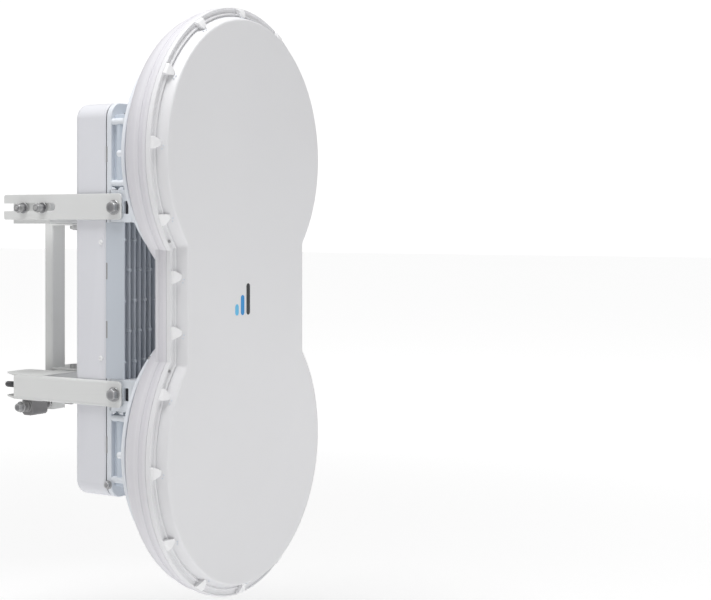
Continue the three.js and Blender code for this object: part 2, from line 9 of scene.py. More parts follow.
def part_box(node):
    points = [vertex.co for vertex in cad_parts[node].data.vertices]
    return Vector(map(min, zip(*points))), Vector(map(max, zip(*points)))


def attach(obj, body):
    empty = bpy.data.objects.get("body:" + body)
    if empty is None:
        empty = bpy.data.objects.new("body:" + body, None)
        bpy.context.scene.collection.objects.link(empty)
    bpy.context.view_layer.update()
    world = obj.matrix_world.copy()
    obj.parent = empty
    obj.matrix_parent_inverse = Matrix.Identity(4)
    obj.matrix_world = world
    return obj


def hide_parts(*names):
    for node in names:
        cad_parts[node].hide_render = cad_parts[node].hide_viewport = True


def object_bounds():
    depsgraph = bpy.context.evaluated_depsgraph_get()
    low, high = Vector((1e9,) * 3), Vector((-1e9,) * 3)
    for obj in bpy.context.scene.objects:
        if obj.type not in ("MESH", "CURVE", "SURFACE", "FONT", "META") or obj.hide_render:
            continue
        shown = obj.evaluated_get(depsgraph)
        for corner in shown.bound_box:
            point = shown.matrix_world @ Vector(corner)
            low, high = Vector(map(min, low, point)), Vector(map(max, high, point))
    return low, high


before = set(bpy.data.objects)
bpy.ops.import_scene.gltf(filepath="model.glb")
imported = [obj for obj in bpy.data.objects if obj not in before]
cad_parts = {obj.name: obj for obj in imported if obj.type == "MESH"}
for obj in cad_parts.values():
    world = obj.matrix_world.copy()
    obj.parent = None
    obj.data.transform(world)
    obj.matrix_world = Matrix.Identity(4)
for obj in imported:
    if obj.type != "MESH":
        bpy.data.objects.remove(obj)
cadLow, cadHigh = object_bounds()
scene = bpy.context.scene

# Shapes are drawn in millimetres, with Y counted from the radome's face, then set into the frame.
mm = 0.001
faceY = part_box("front_radome")[0].y
toFrame = Matrix.Translation((0, faceY, 0)) @ Matrix.Scale(mm, 4)
axes = {"x": Vector((1, 0, 0)), "y": Vector((0, 1, 0)), "z": Vector((0, 0, 1))}


def spanOf(node):
    # a node's lowest and highest corner, in drawing millimetres
    low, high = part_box(node)
    shift = Vector((0, faceY, 0))
    return (low - shift) / mm, (high - shift) / mm


# camera and light
cameraSetup = {
    "place": (-1997, -1320, 127),  # drawing millimetres
    "heading": -56.53,  # degrees from straight behind the face's centre
    "lens": 75.95,
    "shift": (0.150, -0.110),
}
lightSetup = {
    "room": 0.31,
    "lamps": [
        # name, place in metres from the unit's middle, size, power, colour
        ("overhead", (-0.7, -0.2, 2.8), 1.8, 74, (1.0, 1.0, 1.0)),
        ("front", (0.2, -1.5, -0.42), 0.36, 2.1, (1.0, 1.0, 1.0)),
    ],
    "floorDrop": 0.16,
    "floorGlow": 0.68,  # far from the unit, so that the floor runs into the white room
}


def makeCamera():
    data = bpy.data.cameras.new("camera")
    data.lens = cameraSetup["lens"]
    data.sensor_width = 36
    data.sensor_fit = "HORIZONTAL"
    data.shift_x, data.shift_y = cameraSetup["shift"]
    data.clip_end = 60
    camera = bpy.data.objects.new("camera", data)
    camera.location = toFrame @ Vector(cameraSetup["place"])
    camera.rotation_euler = (math.radians(90), 0, math.radians(cameraSetup["heading"]))
    scene.collection.objects.link(camera)
    scene.camera = camera


def makeRoom():
    world = bpy.data.worlds.new("studio")
    scene.world = world
    world.use_nodes = True
    tree = world.node_tree
    background = tree.nodes["Background"]
    background.inputs["Color"].default_value = (1, 1, 1, 1)
    background.inputs["Strength"].default_value = lightSetup["room"]
    seen = tree.nodes.new("ShaderNodeBackground")
    seen.inputs["Color"].default_value = (1, 1, 1, 1)
    seen.inputs["Strength"].default_value = 1.05
    path = tree.nodes.new("ShaderNodeLightPath")
    blend = tree.nodes.new("ShaderNodeMixShader")
    tree.links.new(path.outputs["Is Camera Ray"], blend.inputs["Fac"])
    tree.links.new(background.outputs[0], blend.inputs[1])
    tree.links.new(seen.outputs[0], blend.inputs[2])
    tree.links.new(blend.outputs[0], tree.nodes["World Output"].inputs["Surface"])
    middle = (cadLow + cadHigh) / 2
    for name, place, size, power, colour in lightSetup["lamps"]:
        data = bpy.data.lights.new(name, "AREA")
        data.shape = "DISK"
        data.size = size
        data.energy = power
        data.color = colour
        lamp = bpy.data.objects.new(name, data)
        lamp.location = middle + Vector(place)
        lamp.rotation_euler = (middle - lamp.location).to_track_quat("-Z", "Y").to_euler()
        scene.collection.objects.link(lamp)
    scene.view_settings.view_transform = "Standard"
    scene.view_settings.look = "None"


# materials: every one is a function of the place on the piece, so nothing slides with the view
def noiseAt(tree, coords, scale, detail=3.0, roughness=0.5, stretch=None):
    if stretch:
        spread = tree.nodes.new("ShaderNodeVectorMath")
        spread.operation = "MULTIPLY"
        spread.inputs[1].default_value = stretch
        tree.links.new(coords, spread.inputs[0])
        coords = spread.outputs[0]
    noise = tree.nodes.new("ShaderNodeTexNoise")
    noise.inputs["Scale"].default_value = scale
    noise.inputs["Detail"].default_value = detail
    noise.inputs["Roughness"].default_value = roughness
    tree.links.new(coords, noise.inputs["Vector"])
    return noise.outputs["Fac"]


def rangeOf(tree, value, low, high, fromLow=0.3, fromHigh=0.7):
    ranged = tree.nodes.new("ShaderNodeMapRange")
    ranged.inputs["From Min"].default_value = fromLow
    ranged.inputs["From Max"].default_value = fromHigh
    ranged.inputs["To Min"].default_value = low
    ranged.inputs["To Max"].default_value = high
    tree.links.new(value, ranged.inputs["Value"])
    return ranged.outputs["Result"]


def mixColours(tree, factor, first, second):
    mix = tree.nodes.new("ShaderNodeMix")
    mix.data_type = "RGBA"
    tree.links.new(factor, mix.inputs["Factor"])
    for socket, colour in ((mix.inputs["A"], first), (mix.inputs["B"], second)):
        if isinstance(colour, tuple):
            socket.default_value = (*colour, 1)
        else:
            tree.links.new(colour, socket)
    return mix.outputs["Result"]


def makeFinish(name, look):
    # look: colour, shade (a second colour it drifts to), worn (colour at raised edges), roughness, metal,
    # grain (size and depth of the surface texture in millimetres), brushed (stretch of the grain)
    material = bpy.data.materials.new(name)
    material.use_nodes = True
    tree = material.node_tree
    shader = tree.nodes["Principled BSDF"]
    coords = tree.nodes.new("ShaderNodeTexCoord").outputs["Object"]
    drift = rangeOf(tree, noiseAt(tree, coords, look.get("driftScale", 5)), 0, 1)
    base = mixColours(tree, drift, look["colour"], look["shade"])
    geometry = tree.nodes.new("ShaderNodeNewGeometry")
    edge = rangeOf(tree, geometry.outputs["Pointiness"], 0, look.get("wear", 0.5), 0.52, 0.60)
    base = mixColours(tree, edge, base, look.get("worn", look["colour"]))
    # painted shade: where pointiness is low, in hollows, creases and between parts, the colour is darkened
    # towards a darker tone
    hollow = rangeOf(tree, geometry.outputs["Pointiness"], look.get("hollowShade", 0.25), 0, 0.42, 0.49)
    base = mixColours(tree, hollow, base, look.get("hollowShadeColour", look["shade"]))
    tree.links.new(base, shader.inputs["Base Color"])
    shader.inputs["Metallic"].default_value = look.get("metal", 0)
    low, high = look["roughness"]
    size, depth = look["grain"]
    grain = noiseAt(tree, coords, 1 / (size * mm), 2.0, 0.6, look.get("brushed"))
    patches = noiseAt(tree, coords, look.get("patchScale", 38), 4.0)
    tree.links.new(rangeOf(tree, patches, low, high), shader.inputs["Roughness"])
    bump = tree.nodes.new("ShaderNodeBump")
    bump.inputs["Distance"].default_value = depth * mm
    bump.inputs["Strength"].default_value = 0.6
    tree.links.new(grain, bump.inputs["Height"])
    tree.links.new(bump.outputs["Normal"], shader.inputs["Normal"])
    if look.get("coat"):
        shader.inputs["Coat Weight"].default_value = look["coat"]
        shader.inputs["Coat Roughness"].default_value = 0.25
    material.diffuse_color = (*look["colour"], 1)
    return material


# in each finish, the amount and colour used to darken its hollows are painted shade
looks = {
    "ribWhite": {"colour": (0.76, 0.79, 0.83), "shade": (0.70, 0.73, 0.78), "worn": (0.88, 0.90, 0.93),
                 "roughness": (0.40, 0.55), "grain": (1.0, 0.12), "hollowShadeColour": (0.50, 0.53, 0.58)},
    "wallGrey": {"colour": (0.35, 0.39, 0.45), "shade": (0.31, 0.35, 0.41), "worn": (0.78, 0.82, 0.87),
                 "roughness": (0.42, 0.56), "grain": (1.0, 0.14), "wear": 0.8},
    "pinGrey": {"colour": (0.58, 0.62, 0.68), "shade": (0.50, 0.54, 0.60), "worn": (0.8, 0.84, 0.88),
                "roughness": (0.42, 0.55), "grain": (1.0, 0.08)},
    "clipWhite": {"colour": (0.88, 0.88, 0.89), "shade": (0.86, 0.86, 0.87), "worn": (0.92, 0.92, 0.93),
                  "roughness": (0.36, 0.46), "grain": (0.9, 0.04), "driftScale": 3},
    "radomeWhite": {"colour": (0.79, 0.79, 0.805), "shade": (0.77, 0.77, 0.785), "worn": (0.84, 0.84, 0.86),
                    "roughness": (0.38, 0.48), "grain": (0.9, 0.05), "driftScale": 3},
    "shellWhite": {"colour": (0.73, 0.72, 0.75), "shade": (0.67, 0.66, 0.70), "worn": (0.86, 0.86, 0.88),
                   "roughness": (0.40, 0.52), "grain": (0.8, 0.06), "driftScale": 4},
    # the casting's white, darkened as painted shade of the recessed pockets and tower between the dish shell
    # and the cover
    "castWhite": {"colour": (0.54, 0.60, 0.68), "shade": (0.48, 0.54, 0.62), "worn": (0.84, 0.88, 0.93),
                  "roughness": (0.42, 0.58), "grain": (1.1, 0.16), "hollowShade": 0.4,
                  "hollowShadeColour": (0.45, 0.49, 0.56)},
    # finGrey: a dark grey that is partly the fins' own colour and partly painted shade of the gaps between
    # them; the hollows go near black, also as painted shade
    "finGrey": {"colour": (0.34, 0.37, 0.43), "shade": (0.28, 0.31, 0.37), "worn": (0.66, 0.70, 0.76),
                "roughness": (0.45, 0.62), "grain": (1.0, 0.16), "wear": 0.8, "hollowShade": 0.5,
                "hollowShadeColour": (0.16, 0.17, 0.20)},
    "coverWhite": {"colour": (0.745, 0.75, 0.785), "shade": (0.72, 0.725, 0.765), "worn": (0.86, 0.86, 0.9),
                   "roughness": (0.36, 0.48), "grain": (0.7, 0.05), "driftScale": 3},
    "bracketWhite": {"colour": (0.74, 0.745, 0.74), "shade": (0.70, 0.705, 0.70), "worn": (0.86, 0.87, 0.85),
                     "roughness": (0.34, 0.46), "grain": (1.4, 0.10), "coat": 0.15},
    "zincSteel": {"colour": (0.36, 0.36, 0.37), "shade": (0.25, 0.25, 0.26), "worn": (0.62, 0.62, 0.62),
                  "roughness": (0.32, 0.52), "grain": (0.5, 0.08), "metal": 0.85, "driftScale": 60,
                  "wear": 0.9, "hollowShade": 0.6, "hollowShadeColour": (0.09, 0.09, 0.10)},
    "darkSteel": {"colour": (0.13, 0.13, 0.135), "shade": (0.09, 0.09, 0.095), "worn": (0.3, 0.3, 0.3),
                  "roughness": (0.40, 0.58), "grain": (0.5, 0.08), "metal": 0.8, "driftScale": 60,
                  "wear": 0.7},
    "blockGrey": {"colour": (0.26, 0.255, 0.26), "shade": (0.21, 0.205, 0.21), "worn": (0.42, 0.42, 0.42),
                  "roughness": (0.45, 0.6), "grain": (0.8, 0.15), "metal": 0.35, "driftScale": 40,
                  "wear": 0.7},
    "dishMetal": {"colour": (0.74, 0.75, 0.77), "shade": (0.66, 0.67, 0.70), "worn": (0.85, 0.86, 0.88),
                  "roughness": (0.22, 0.36), "grain": (0.9, 0.05), "metal": 1.0},
    "sealRubber": {"colour": (0.03, 0.03, 0.033), "shade": (0.05, 0.05, 0.053), "roughness": (0.75, 0.9),
                   "grain": (0.5, 0.08)},
    "feedPlastic": {"colour": (0.82, 0.81, 0.77), "shade": (0.76, 0.75, 0.70), "roughness": (0.4, 0.55),
                    "grain": (0.6, 0.05)},
    "boardGreen": {"colour": (0.03, 0.16, 0.08), "shade": (0.02, 0.11, 0.055), "worn": (0.35, 0.3, 0.12),
                   "roughness": (0.35, 0.5), "grain": (2.2, 0.05), "driftScale": 120, "coat": 0.2},
    "canSteel": {"colour": (0.60, 0.62, 0.63), "shade": (0.50, 0.52, 0.53), "worn": (0.75, 0.76, 0.76),
                 "roughness": (0.25, 0.4), "grain": (1.6, 0.04), "metal": 1.0, "brushed": (1, 1, 0.06)},
    "portBlack": {"colour": (0.02, 0.02, 0.022), "shade": (0.032, 0.032, 0.035), "worn": (0.08, 0.08, 0.085),
                  "roughness": (0.42, 0.6), "grain": (0.5, 0.06)},
    "shadowGap": {"colour": (0.035, 0.036, 0.042), "shade": (0.05, 0.05, 0.06), "roughness": (0.7, 0.9),
                  "grain": (0.6, 0.05)},
    "markBlue": {"colour": (0.02, 0.26, 0.62), "shade": (0.025, 0.32, 0.70), "roughness": (0.3, 0.4),
                 "grain": (0.5, 0.02)},
    "markSky": {"colour": (0.12, 0.50, 0.80), "shade": (0.16, 0.56, 0.84), "roughness": (0.3, 0.4),
                "grain": (0.5, 0.02)},
    "markInk": {"colour": (0.018, 0.02, 0.024), "shade": (0.025, 0.027, 0.03), "roughness": (0.3, 0.4),
                "grain": (0.5, 0.02)},
}
finishes = {name: makeFinish(name, look) for name, look in looks.items()}


# mesh building
def addPiece(name, bm, finish, body, nodes=(), smooth=34, soften=0, steps=2, extra=()):
    # sets a drawn mesh into the frame, dresses it and lets it ride on its body
    bmesh.ops.remove_doubles(bm, verts=bm.verts, dist=1e-4)
    bmesh.ops.recalc_face_normals(bm, faces=bm.faces)
    bm.transform(toFrame)
    mesh = bpy.data.meshes.new(name)
    bm.to_mesh(mesh)
    bm.free()
    piece = bpy.data.objects.new(name, mesh)
    scene.collection.objects.link(piece)
    for each in (finish, *extra):
        mesh.materials.append(finishes[each])
    mesh.shade_smooth()
    mesh.set_sharp_from_angle(angle=math.radians(smooth))
    if soften:
        bevel = piece.modifiers.new("edges", "BEVEL")
        bevel.width = soften * mm
        bevel.segments = steps
        bevel.limit_method = "ANGLE"
        bevel.angle_limit = math.radians(smooth)
        bevel.use_clamp_overlap = True
        bevel.harden_normals = True
    weighted = piece.modifiers.new("normals", "WEIGHTED_NORMAL")
    weighted.keep_sharp = True
    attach(piece, body)
    if nodes:
        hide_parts(*nodes)
    return piece


def addBox(bm, low, high, slot=0):
    corners = [Vector((x, y, z)) for x in (low[0], high[0]) for y in (low[1], high[1])
               for z in (low[2], high[2])]
    verts = [bm.verts.new(corner) for corner in corners]
    for loop in ((0, 1, 3, 2), (4, 6, 7, 5), (0, 4, 5, 1), (2, 3, 7, 6), (0, 2, 6, 4), (1, 5, 7, 3)):
        face = bm.faces.new([verts[i] for i in loop])
        face.material_index = slot


def addPrism(bm, points, axis, low, high, slot=0):
    # a flat outline, given in the two axes that follow `axis`, pulled from low to high along it
    order = {"x": (0, 1, 2), "y": (2, 0, 1), "z": (1, 2, 0)}[axis]

    def place(point, along):
        values = (along, point[0], point[1])
        return Vector([values[i] for i in order])

    near = [bm.verts.new(place(point, low)) for point in points]
    far = [bm.verts.new(place(point, high)) for point in points]
    faces = [bm.faces.new(near), bm.faces.new(list(reversed(far)))]
    for i in range(len(points)):
        j = (i + 1) % len(points)
        faces.append(bm.faces.new([near[j], near[i], far[i], far[j]]))
    for face in faces:
        face.material_index = slot


def addTurned(bm, profile, axis, centre, sides=48, closed=True, slot=0):
    # a profile of (radius, place along the axis) turned about a line through centre
    along = axes[axis]
    side = axes["z"] if axis != "z" else axes["x"]
    other = along.cross(side)
    rings = []
    for radius, place in profile:
        if radius < 1e-6:
            rings.append([bm.verts.new(Vector(centre) + along * place)] * sides)
            continue
        ring = [side * math.cos(2 * math.pi * i / sides) + other * math.sin(2 * math.pi * i / sides)
                for i in range(sides)]
        rings.append([bm.verts.new(Vector(centre) + along * place + spoke * radius) for spoke in ring])
    last = len(rings) if closed else len(rings) - 1
    for r in range(last):
        first, second = rings[r], rings[(r + 1) % len(rings)]
        for i in range(sides):
            j = (i + 1) % sides
            loop = []
            for vert in (first[i], first[j], second[j], second[i]):
                if vert not in loop:
                    loop.append(vert)
            if len(loop) > 2:
                bm.faces.new(loop).material_index = slot


def arcPoints(centre, radius, start, end, steps):
    return [(centre[0] + radius * math.cos(math.radians(start + (end - start) * i / steps)),
             centre[1] + radius * math.sin(math.radians(start + (end - start) * i / steps)))
            for i in range(steps + 1)]


def roundedPoints(halfWide, halfHigh, corner, steps=6, centre=(0, 0)):
    points = []
    for sideX, sideY, start in ((1, 1, 0), (-1, 1, 90), (-1, -1, 180), (1, -1, 270)):
        middle = (centre[0] + sideX * (halfWide - corner), centre[1] + sideY * (halfHigh - corner))
        points += arcPoints(middle, corner, start, start + 90, steps)
    return points


def carve(piece, bm, joined=False):
    # cuts a drawn mesh out of a piece, ahead of the modifiers that round its edges;
    # joined is for a piece drawn as several overlapping volumes
    bmesh.ops.recalc_face_normals(bm, faces=bm.faces)
    bm.transform(toFrame)
    mesh = bpy.data.meshes.new("cutter")
    bm.to_mesh(mesh)
    bm.free()
    cutter = bpy.data.objects.new("cutter", mesh)
    scene.collection.objects.link(cutter)
    cut = piece.modifiers.new("cut", "BOOLEAN")
    cut.operation = "DIFFERENCE"
    cut.solver = "EXACT"
    cut.use_self = joined
    cut.object = cutter
    piece.modifiers.move(len(piece.modifiers) - 1, 0)
    others = [m for m in piece.modifiers if m.name != "cut"]
    for other in others:
        other.show_viewport = False
    graph = bpy.context.evaluated_depsgraph_get()
    made = bpy.data.meshes.new_from_object(piece.evaluated_get(graph))
    piece.modifiers.remove(piece.modifiers["cut"])
    for other in others:
        other.show_viewport = True
    piece.data = made
    made.shade_smooth()
    made.set_sharp_from_angle(angle=math.radians(34))
    bpy.data.objects.remove(cutter)


def drillHole(piece, axis, centre, radius, start, end, sides=40, joined=False):
    # a round hole along the axis, from start to end
    cutter = bmesh.new()
    addTurned(cutter, [(0, start), (radius, start), (radius, end), (0, end)], axis, centre, sides, False)
    carve(piece, cutter, joined)


def boltHead(bm, axis, centre, seat, top, across, slot=0, washer=None):
    # six-sided head with a turned chamfer, from its seat to its top along the axis
    reach = top - seat
    sign = 1 if reach > 0 else -1
    inner = across * 0.5
    corner = inner / math.cos(math.pi / 6)
    chamfer = abs(reach) * 0.22
    along = axes[axis]
    side = axes["z"] if axis != "z" else axes["x"]
    other = along.cross(side)
    rows = [(corner, seat), (corner, top - sign * chamfer), (inner * 0.93, top), (inner * 0.6, top)]
    rows.append((inner * 0.5, top - sign * 0.35))
    rings = []
    for radius, place in rows:
        spokes = []
        for i in range(24):
            angle = 2 * math.pi * i / 24
            reachHere = radius
            if radius == corner:
                nearest = math.pi / 3 * round(angle / (math.pi / 3) - 0.5) + math.pi / 6
                reachHere = inner / math.cos(angle - nearest)
            spokes.append(side * math.cos(angle) * reachHere + other * math.sin(angle) * reachHere)
        rings.append([bm.verts.new(Vector(centre) + along * place + spoke) for spoke in spokes])
    for first, second in zip(rings, rings[1:]):
        for i in range(24):
            j = (i + 1) % 24
            bm.faces.new([first[i], first[j], second[j], second[i]]).material_index = slot
    bm.faces.new(rings[0]).material_index = slot
    bm.faces.new(rings[-1]).material_index = slot
    if washer:
        radius, thick = washer
        start = seat - sign * thick
        addTurned(bm, [(0, start), (radius - 0.4, start), (radius, start + sign * 0.4),
                       (radius, seat - sign * 0.4), (radius - 0.4, seat), (0, seat)],
                  axis, centre, 40, False, slot)


def threadedShank(bm, axis, centre, start, end, radius, pitch=1.25, slot=0, sides=28):
    # a shank whose thread is a row of sharp ridges, with a chamfered free end
    sign = 1 if end > start else -1
    profile = [(0, start), (radius, start)]
    place = start + sign * pitch
    while (end - place) * sign > pitch * 1.4:
        profile += [(radius, place), (radius * 0.86, place + sign * pitch * 0.5)]
        place += sign * pitch
    profile += [(radius * 0.95, place), (radius * 0.8, end), (0, end)]
    addTurned(bm, profile, axis, centre, sides, False, slot)


makeCamera()
makeRoom()
print("stage: camera, light and finishes")


# front radome: the figure-eight cover, its stepped rim and the clips on it
frameHigh = spanOf("front_radome")[1]
radome = {
    "rimOut": 22,  # the rim stands this far outside the flat face
    "neckHalf": 163,
    "neckCorner": 13,
    "lobeSteps": 44,  # in a quarter of the outline
    "cornerSteps": 5,
    # (distance outside the face, depth), from the middle of the face to the middle of the inside
    "section": [(-90, 0.25), (-1.6, 0.25), (0.2, 0.45), (1.5, 1.1), (2.4, 2.2), (2.9, 3.6),
                (7.3, 17.4), (7.7, 18.5), (8.3, 18.9), (8.9, 18.6), (9.3, 17.6), (9.9, 16.9), (10.9, 16.7),
                (11.8, 17.1), (12.3, 18.2), (12.8, 19.8), (13.6, 20.6), (17.9, 20.6), (18.7, 20.2),
                (19.2, 19.0), (19.9, 18.4), (21.1, 18.4), (21.8, 18.9), (22, 19.8), (22, 26.0), (21.4, 26.7),
                (7.5, 26.7), (6.4, 26.0), (0.6, 5.2), (-1.6, 3.4), (-90, 3.4)],
    "clipEvery": 29,  # degrees round a lobe, counted from its end
    # clip on the rim: (distance outside the face, half its width, depth of its front)
    "clipRows": [(4.6, 2.6, 9.6), (8, 4.6, 9.4), (13, 7.2, 11.2), (18.6, 9.6, 14.0), (20.6, 9.2, 16.6)],
    "clipBack": 20.9,
    "neckClips": (-40, 44),
    "dotOut": 4.5,
}
lobeRadius = frameHigh.x - radome["rimOut"]
lobeHeight = frameHigh.z - frameHigh.x


def outlineAt(out):
    # the figure-eight, moved outwards: two lobes joined to a straight neck by small hollow corners
    lobe, neck = lobeRadius + out, radome["neckHalf"] + out
    corner = max(radome["neckCorner"] - out, 2)
    cornerX = neck + corner
    cornerZ = lobeHeight - math.sqrt((lobe + corner) ** 2 - cornerX ** 2)
    start = math.degrees(math.atan2(cornerZ - lobeHeight, cornerX))
    quarter = arcPoints((0, lobeHeight), lobe, 90, start, radome["lobeSteps"])
    quarter += arcPoints((cornerX, cornerZ), corner, 180 + start, 180, radome["cornerSteps"])[1:]
    right = quarter + [(x, -z) for x, z in reversed(quarter)]
    return right + [(-x, z) for x, z in reversed(right[1:-1])]


def sweepSection(bm, outline, section, closed=False, slot=0):
    # carries a row of (out, depth) points round an outline, and caps the two ends of an open row
    rings = [[bm.verts.new((x, depth, z)) for x, z in outline(out)] for out, depth in section]
    count = len(rings[0])
    pairs = list(zip(rings, rings[1:])) + ([(rings[-1], rings[0])] if closed else [])
    for first, second in pairs:
        for i in range(count):
            j = (i + 1) % count
            bm.faces.new([first[i], first[j], second[j], second[i]]).material_index = slot
    if not closed:
        bm.faces.new(rings[0]).material_index = slot
        bm.faces.new(rings[-1]).material_index = slot


def radomeSpots():
    # where the clips stand: a place on the face's edge, and the outward and sideways directions there
    spots = []
    for end in (1, -1):
        for number in range(-4, 5):
            turn = math.radians(90 + number * radome["clipEvery"])
            outward = Vector((math.cos(turn), 0, end * math.sin(turn)))
            edge = Vector((0, 0, end * lobeHeight)) + outward * lobeRadius
            spots.append((edge, outward))
    for side in (1, -1):
        for z in radome["neckClips"]:
            spots.append((Vector((side * radome["neckHalf"], 0, z)), Vector((side, 0, 0))))
    return spots


def addAlong(bm, spot, outline, thick, slot=0):
    # an outline of (out, depth) points at a spot on the edge, thickened sideways
    edge, outward = spot
    sideways = outward.cross(axes["y"])
    rows = []
    for along in (-thick / 2, thick / 2):
        rows.append([bm.verts.new(edge + outward * out + axes["y"] * depth + sideways * along)
                     for out, depth in outline])
    faces = [bm.faces.new(rows[0]), bm.faces.new(list(reversed(rows[1])))]
    count = len(outline)
    for i in range(count):
        j = (i + 1) % count
        faces.append(bm.faces.new([rows[0][j], rows[0][i], rows[1][i], rows[1][j]]))
    for face in faces:
        face.material_index = slot


def makeRadome():
    bm = bmesh.new()
    sweepSection(bm, outlineAt, radome["section"])
    addPiece("radome_cover", bm, "radomeWhite", "radio", ["front_radome"], smooth=32)
    bm = bmesh.new()
    for edge, outward in radomeSpots():
        sideways = outward.cross(axes["y"])
        rows = []
        for out, half, depth in radome["clipRows"]:
            back = radome["clipBack"]
            corners = ((-half, depth), (half, depth), (half, back), (-half, back))
            rows.append([bm.verts.new(edge + outward * out + sideways * along + axes["y"] * y)
                         for along, y in corners])
        for first, second in zip(rows, rows[1:]):
            for i in range(4):
                j = (i + 1) % 4
                bm.faces.new([first[i], first[j], second[j], second[i]])
        bm.faces.new(rows[0])
        bm.faces.new(rows[-1])
    addPiece("radome_clips", bm, "clipWhite", "radio", smooth=24, soften=1.0, steps=3)
    bm = bmesh.new()
    for edge, outward in radomeSpots():
        sideways = outward.cross(axes["y"])
        for along, depth in ((-2.4, 6.6), (2.6, 8.4)):
            out = radome["dotOut"] + (depth - 6) * 0.3
            middle = edge + outward * out + axes["y"] * depth + sideways * (along + 6.2)
            spin = outward.to_track_quat("Z", "Y").to_matrix().to_4x4()
            bmesh.ops.create_cone(bm, cap_ends=True, segments=14, radius1=1.15, radius2=0.9, depth=1.0,
                                  matrix=Matrix.Translation(middle) @ spin)
    addPiece("radome_vent_dots", bm, "castWhite", "radio", smooth=50)
    bm = bmesh.new()
    for z in (-95, 95):
        for side in (-1, 1):
            angle = math.atan2(z - math.copysign(lobeHeight, z), side * 190)
            reach = lobeRadius + 15.6
            x = math.cos(angle) * reach
            height = math.copysign(lobeHeight, z) + math.sin(angle) * reach
            boltHead(bm, "y", (x, 0, height), 20.6, 18.4, 4.6)
    addPiece("radome_corner_screws", bm, "zincSteel", "radio")


# a generic printed mark: three upright bars of rising height
mark = {
    "middle": (-18, 4),
    "bars": [(-16, 18, "markSky"), (0, 32, "markBlue"), (16, 50, "markInk")],  # offset, height, colour
    "wide": 10,
    "depth": (0.06, 0.24),
}


def makeMark():
    for number, (offset, high, colour) in enumerate(mark["bars"]):
        bm = bmesh.new()
        centre = (mark["middle"][1] - 25 + high / 2, mark["middle"][0] + offset)
        outline = roundedPoints(high / 2, mark["wide"] / 2, mark["wide"] / 2 - 0.1, 8, centre)
        addPrism(bm, outline, "y", *mark["depth"])
        addPiece(f"printed_bar_{number + 1}", bm, colour, "radio", smooth=50)


makeRadome()
makeMark()
print("stage: radome")


# antenna frame, gasket, dish shells, mounting discs and the dishes inside
antenna = {
    "frameSection": [(-20, 50), (17.6, 50), (18.6, 49.6), (19, 48.6), (19, 43.4), (18.1, 42.6), (18.1, 41.2),
                     (19, 40.4), (19, 36), (19.4, 34.8), (20.3, 34.0), (21.3, 33.7), (22, 33.0), (22, 27.9),
                     (21.4, 27.1), (18.2, 27.1), (17.6, 29.3), (16.2, 29.3), (15.4, 30.1), (15.4, 46.2),
                     (14.6, 47), (-20, 47)],
    "opening": 201,
    "shellEdge": [(231, 50.3), (231, 54), (230.2, 58.5), (228.2, 64), (224.6, 70.4), (219.2, 77),
                  (212.4, 83), (204.6, 88.2), (196.4, 92.8), (190.6, 96.4), (187.6, 98.8), (184.6, 100)],
    "shellThick": 3,
    "pegTurns": (0, 90, 180, 270),
}


def makeFrame():
    bm = bmesh.new()
    sweepSection(bm, outlineAt, antenna["frameSection"])
    piece = addPiece("antenna_frame_moulding", bm, "shellWhite", "radio", ["antenna_frame"])
    for end in (1, -1):
        drillHole(piece, "y", (0, 0, end * lobeHeight), antenna["opening"], 40, 60, 144)
    bm = bmesh.new()
    low, high = spanOf("radome_gasket")
    sweepSection(bm, outlineAt, [(8, low.y), (17, low.y), (17.4, (low.y + high.y) / 2), (17, high.y),
                                 (8, high.y)], True)
    addPiece("radome_seal", bm, "sealRubber", "radio", ["radome_gasket"])


def makeAntenna(level, end):
    z = end * lobeHeight
    centre = (0, 0, z)
    edge = antenna["shellEdge"]
    thick = antenna["shellThick"]
    inside = [(radius - thick, depth - (0 if depth < 60 else thick * 0.7))
              for radius, depth in reversed(edge[:-1])]
    profile = edge + [(21, 100), (20, 99.4), (20, 97), (181, 97)] + inside
    bm = bmesh.new()
    addTurned(bm, profile, "y", centre, 144)
    for spoke in range(12):  # short stiffening ribs on the flat back, inside the disc's edge
        angle = math.radians(15 + spoke * 30)
        direction = Vector((math.cos(angle), 0, math.sin(angle)))
        rib = [(153, 99.6), (181, 99.6), (181, 101.4), (153, 102.6)]
        addAlong(bm, (Vector(centre), direction), rib, 3)
    addPiece(f"{level}_dish_back", bm, "shellWhite", "radio", [f"{level}_dish_shell"], smooth=28)
    low, high = spanOf(f"{level}_mounting_ring")
    front, back, radius = high.y - 7, high.y, (high.z - low.z) / 2
    bm = bmesh.new()
    addTurned(bm, [(16.3, low.y), (150, low.y), (150, front), (radius - 0.9, front), (radius, front + 0.9),
                   (radius, back - 1.4), (radius - 1.4, back), (168, back), (166, back - 1.2),
                   (70, back - 1.2), (68, back), (16.3, back)], "y", centre, 144)
    for turn in antenna["pegTurns"]:
        angle = math.radians(turn)
        middle = (math.cos(angle) * (radius - 6.5), 0, z + math.sin(angle) * (radius - 6.5))
        addTurned(bm, [(0, back - 1), (5.2, back - 1), (5.2, back + 7.6), (4.2, back + 9.4),
                       (2.6, back + 10.2), (0, back + 10.2)], "y", middle, 28, False)
    addPiece(f"{level}_mounting_disc", bm, "ribWhite", "radio", [f"{level}_mounting_ring"])
    bm = bmesh.new()
    for turn in range(45, 360, 90):
        angle = math.radians(turn)
        middle = (math.cos(angle) * 156, 0, z + math.sin(angle) * 156)
        boltHead(bm, "y", middle, back + 0.6, back + 4.4, 7.8, washer=(5.6, 0.9))
    for turn in (132, 228):  # screws seen at the edge of the shell, just outside the disc
        angle = math.radians(turn)
        middle = (math.cos(angle) * (radius + 8), 0, z + end * math.sin(angle) * (radius + 8))
        boltHead(bm, "y", middle, 94.4, 99.4, 6)
    addPiece(f"{level}_disc_screws", bm, "zincSteel", "radio")
    makeDish(level, centre)


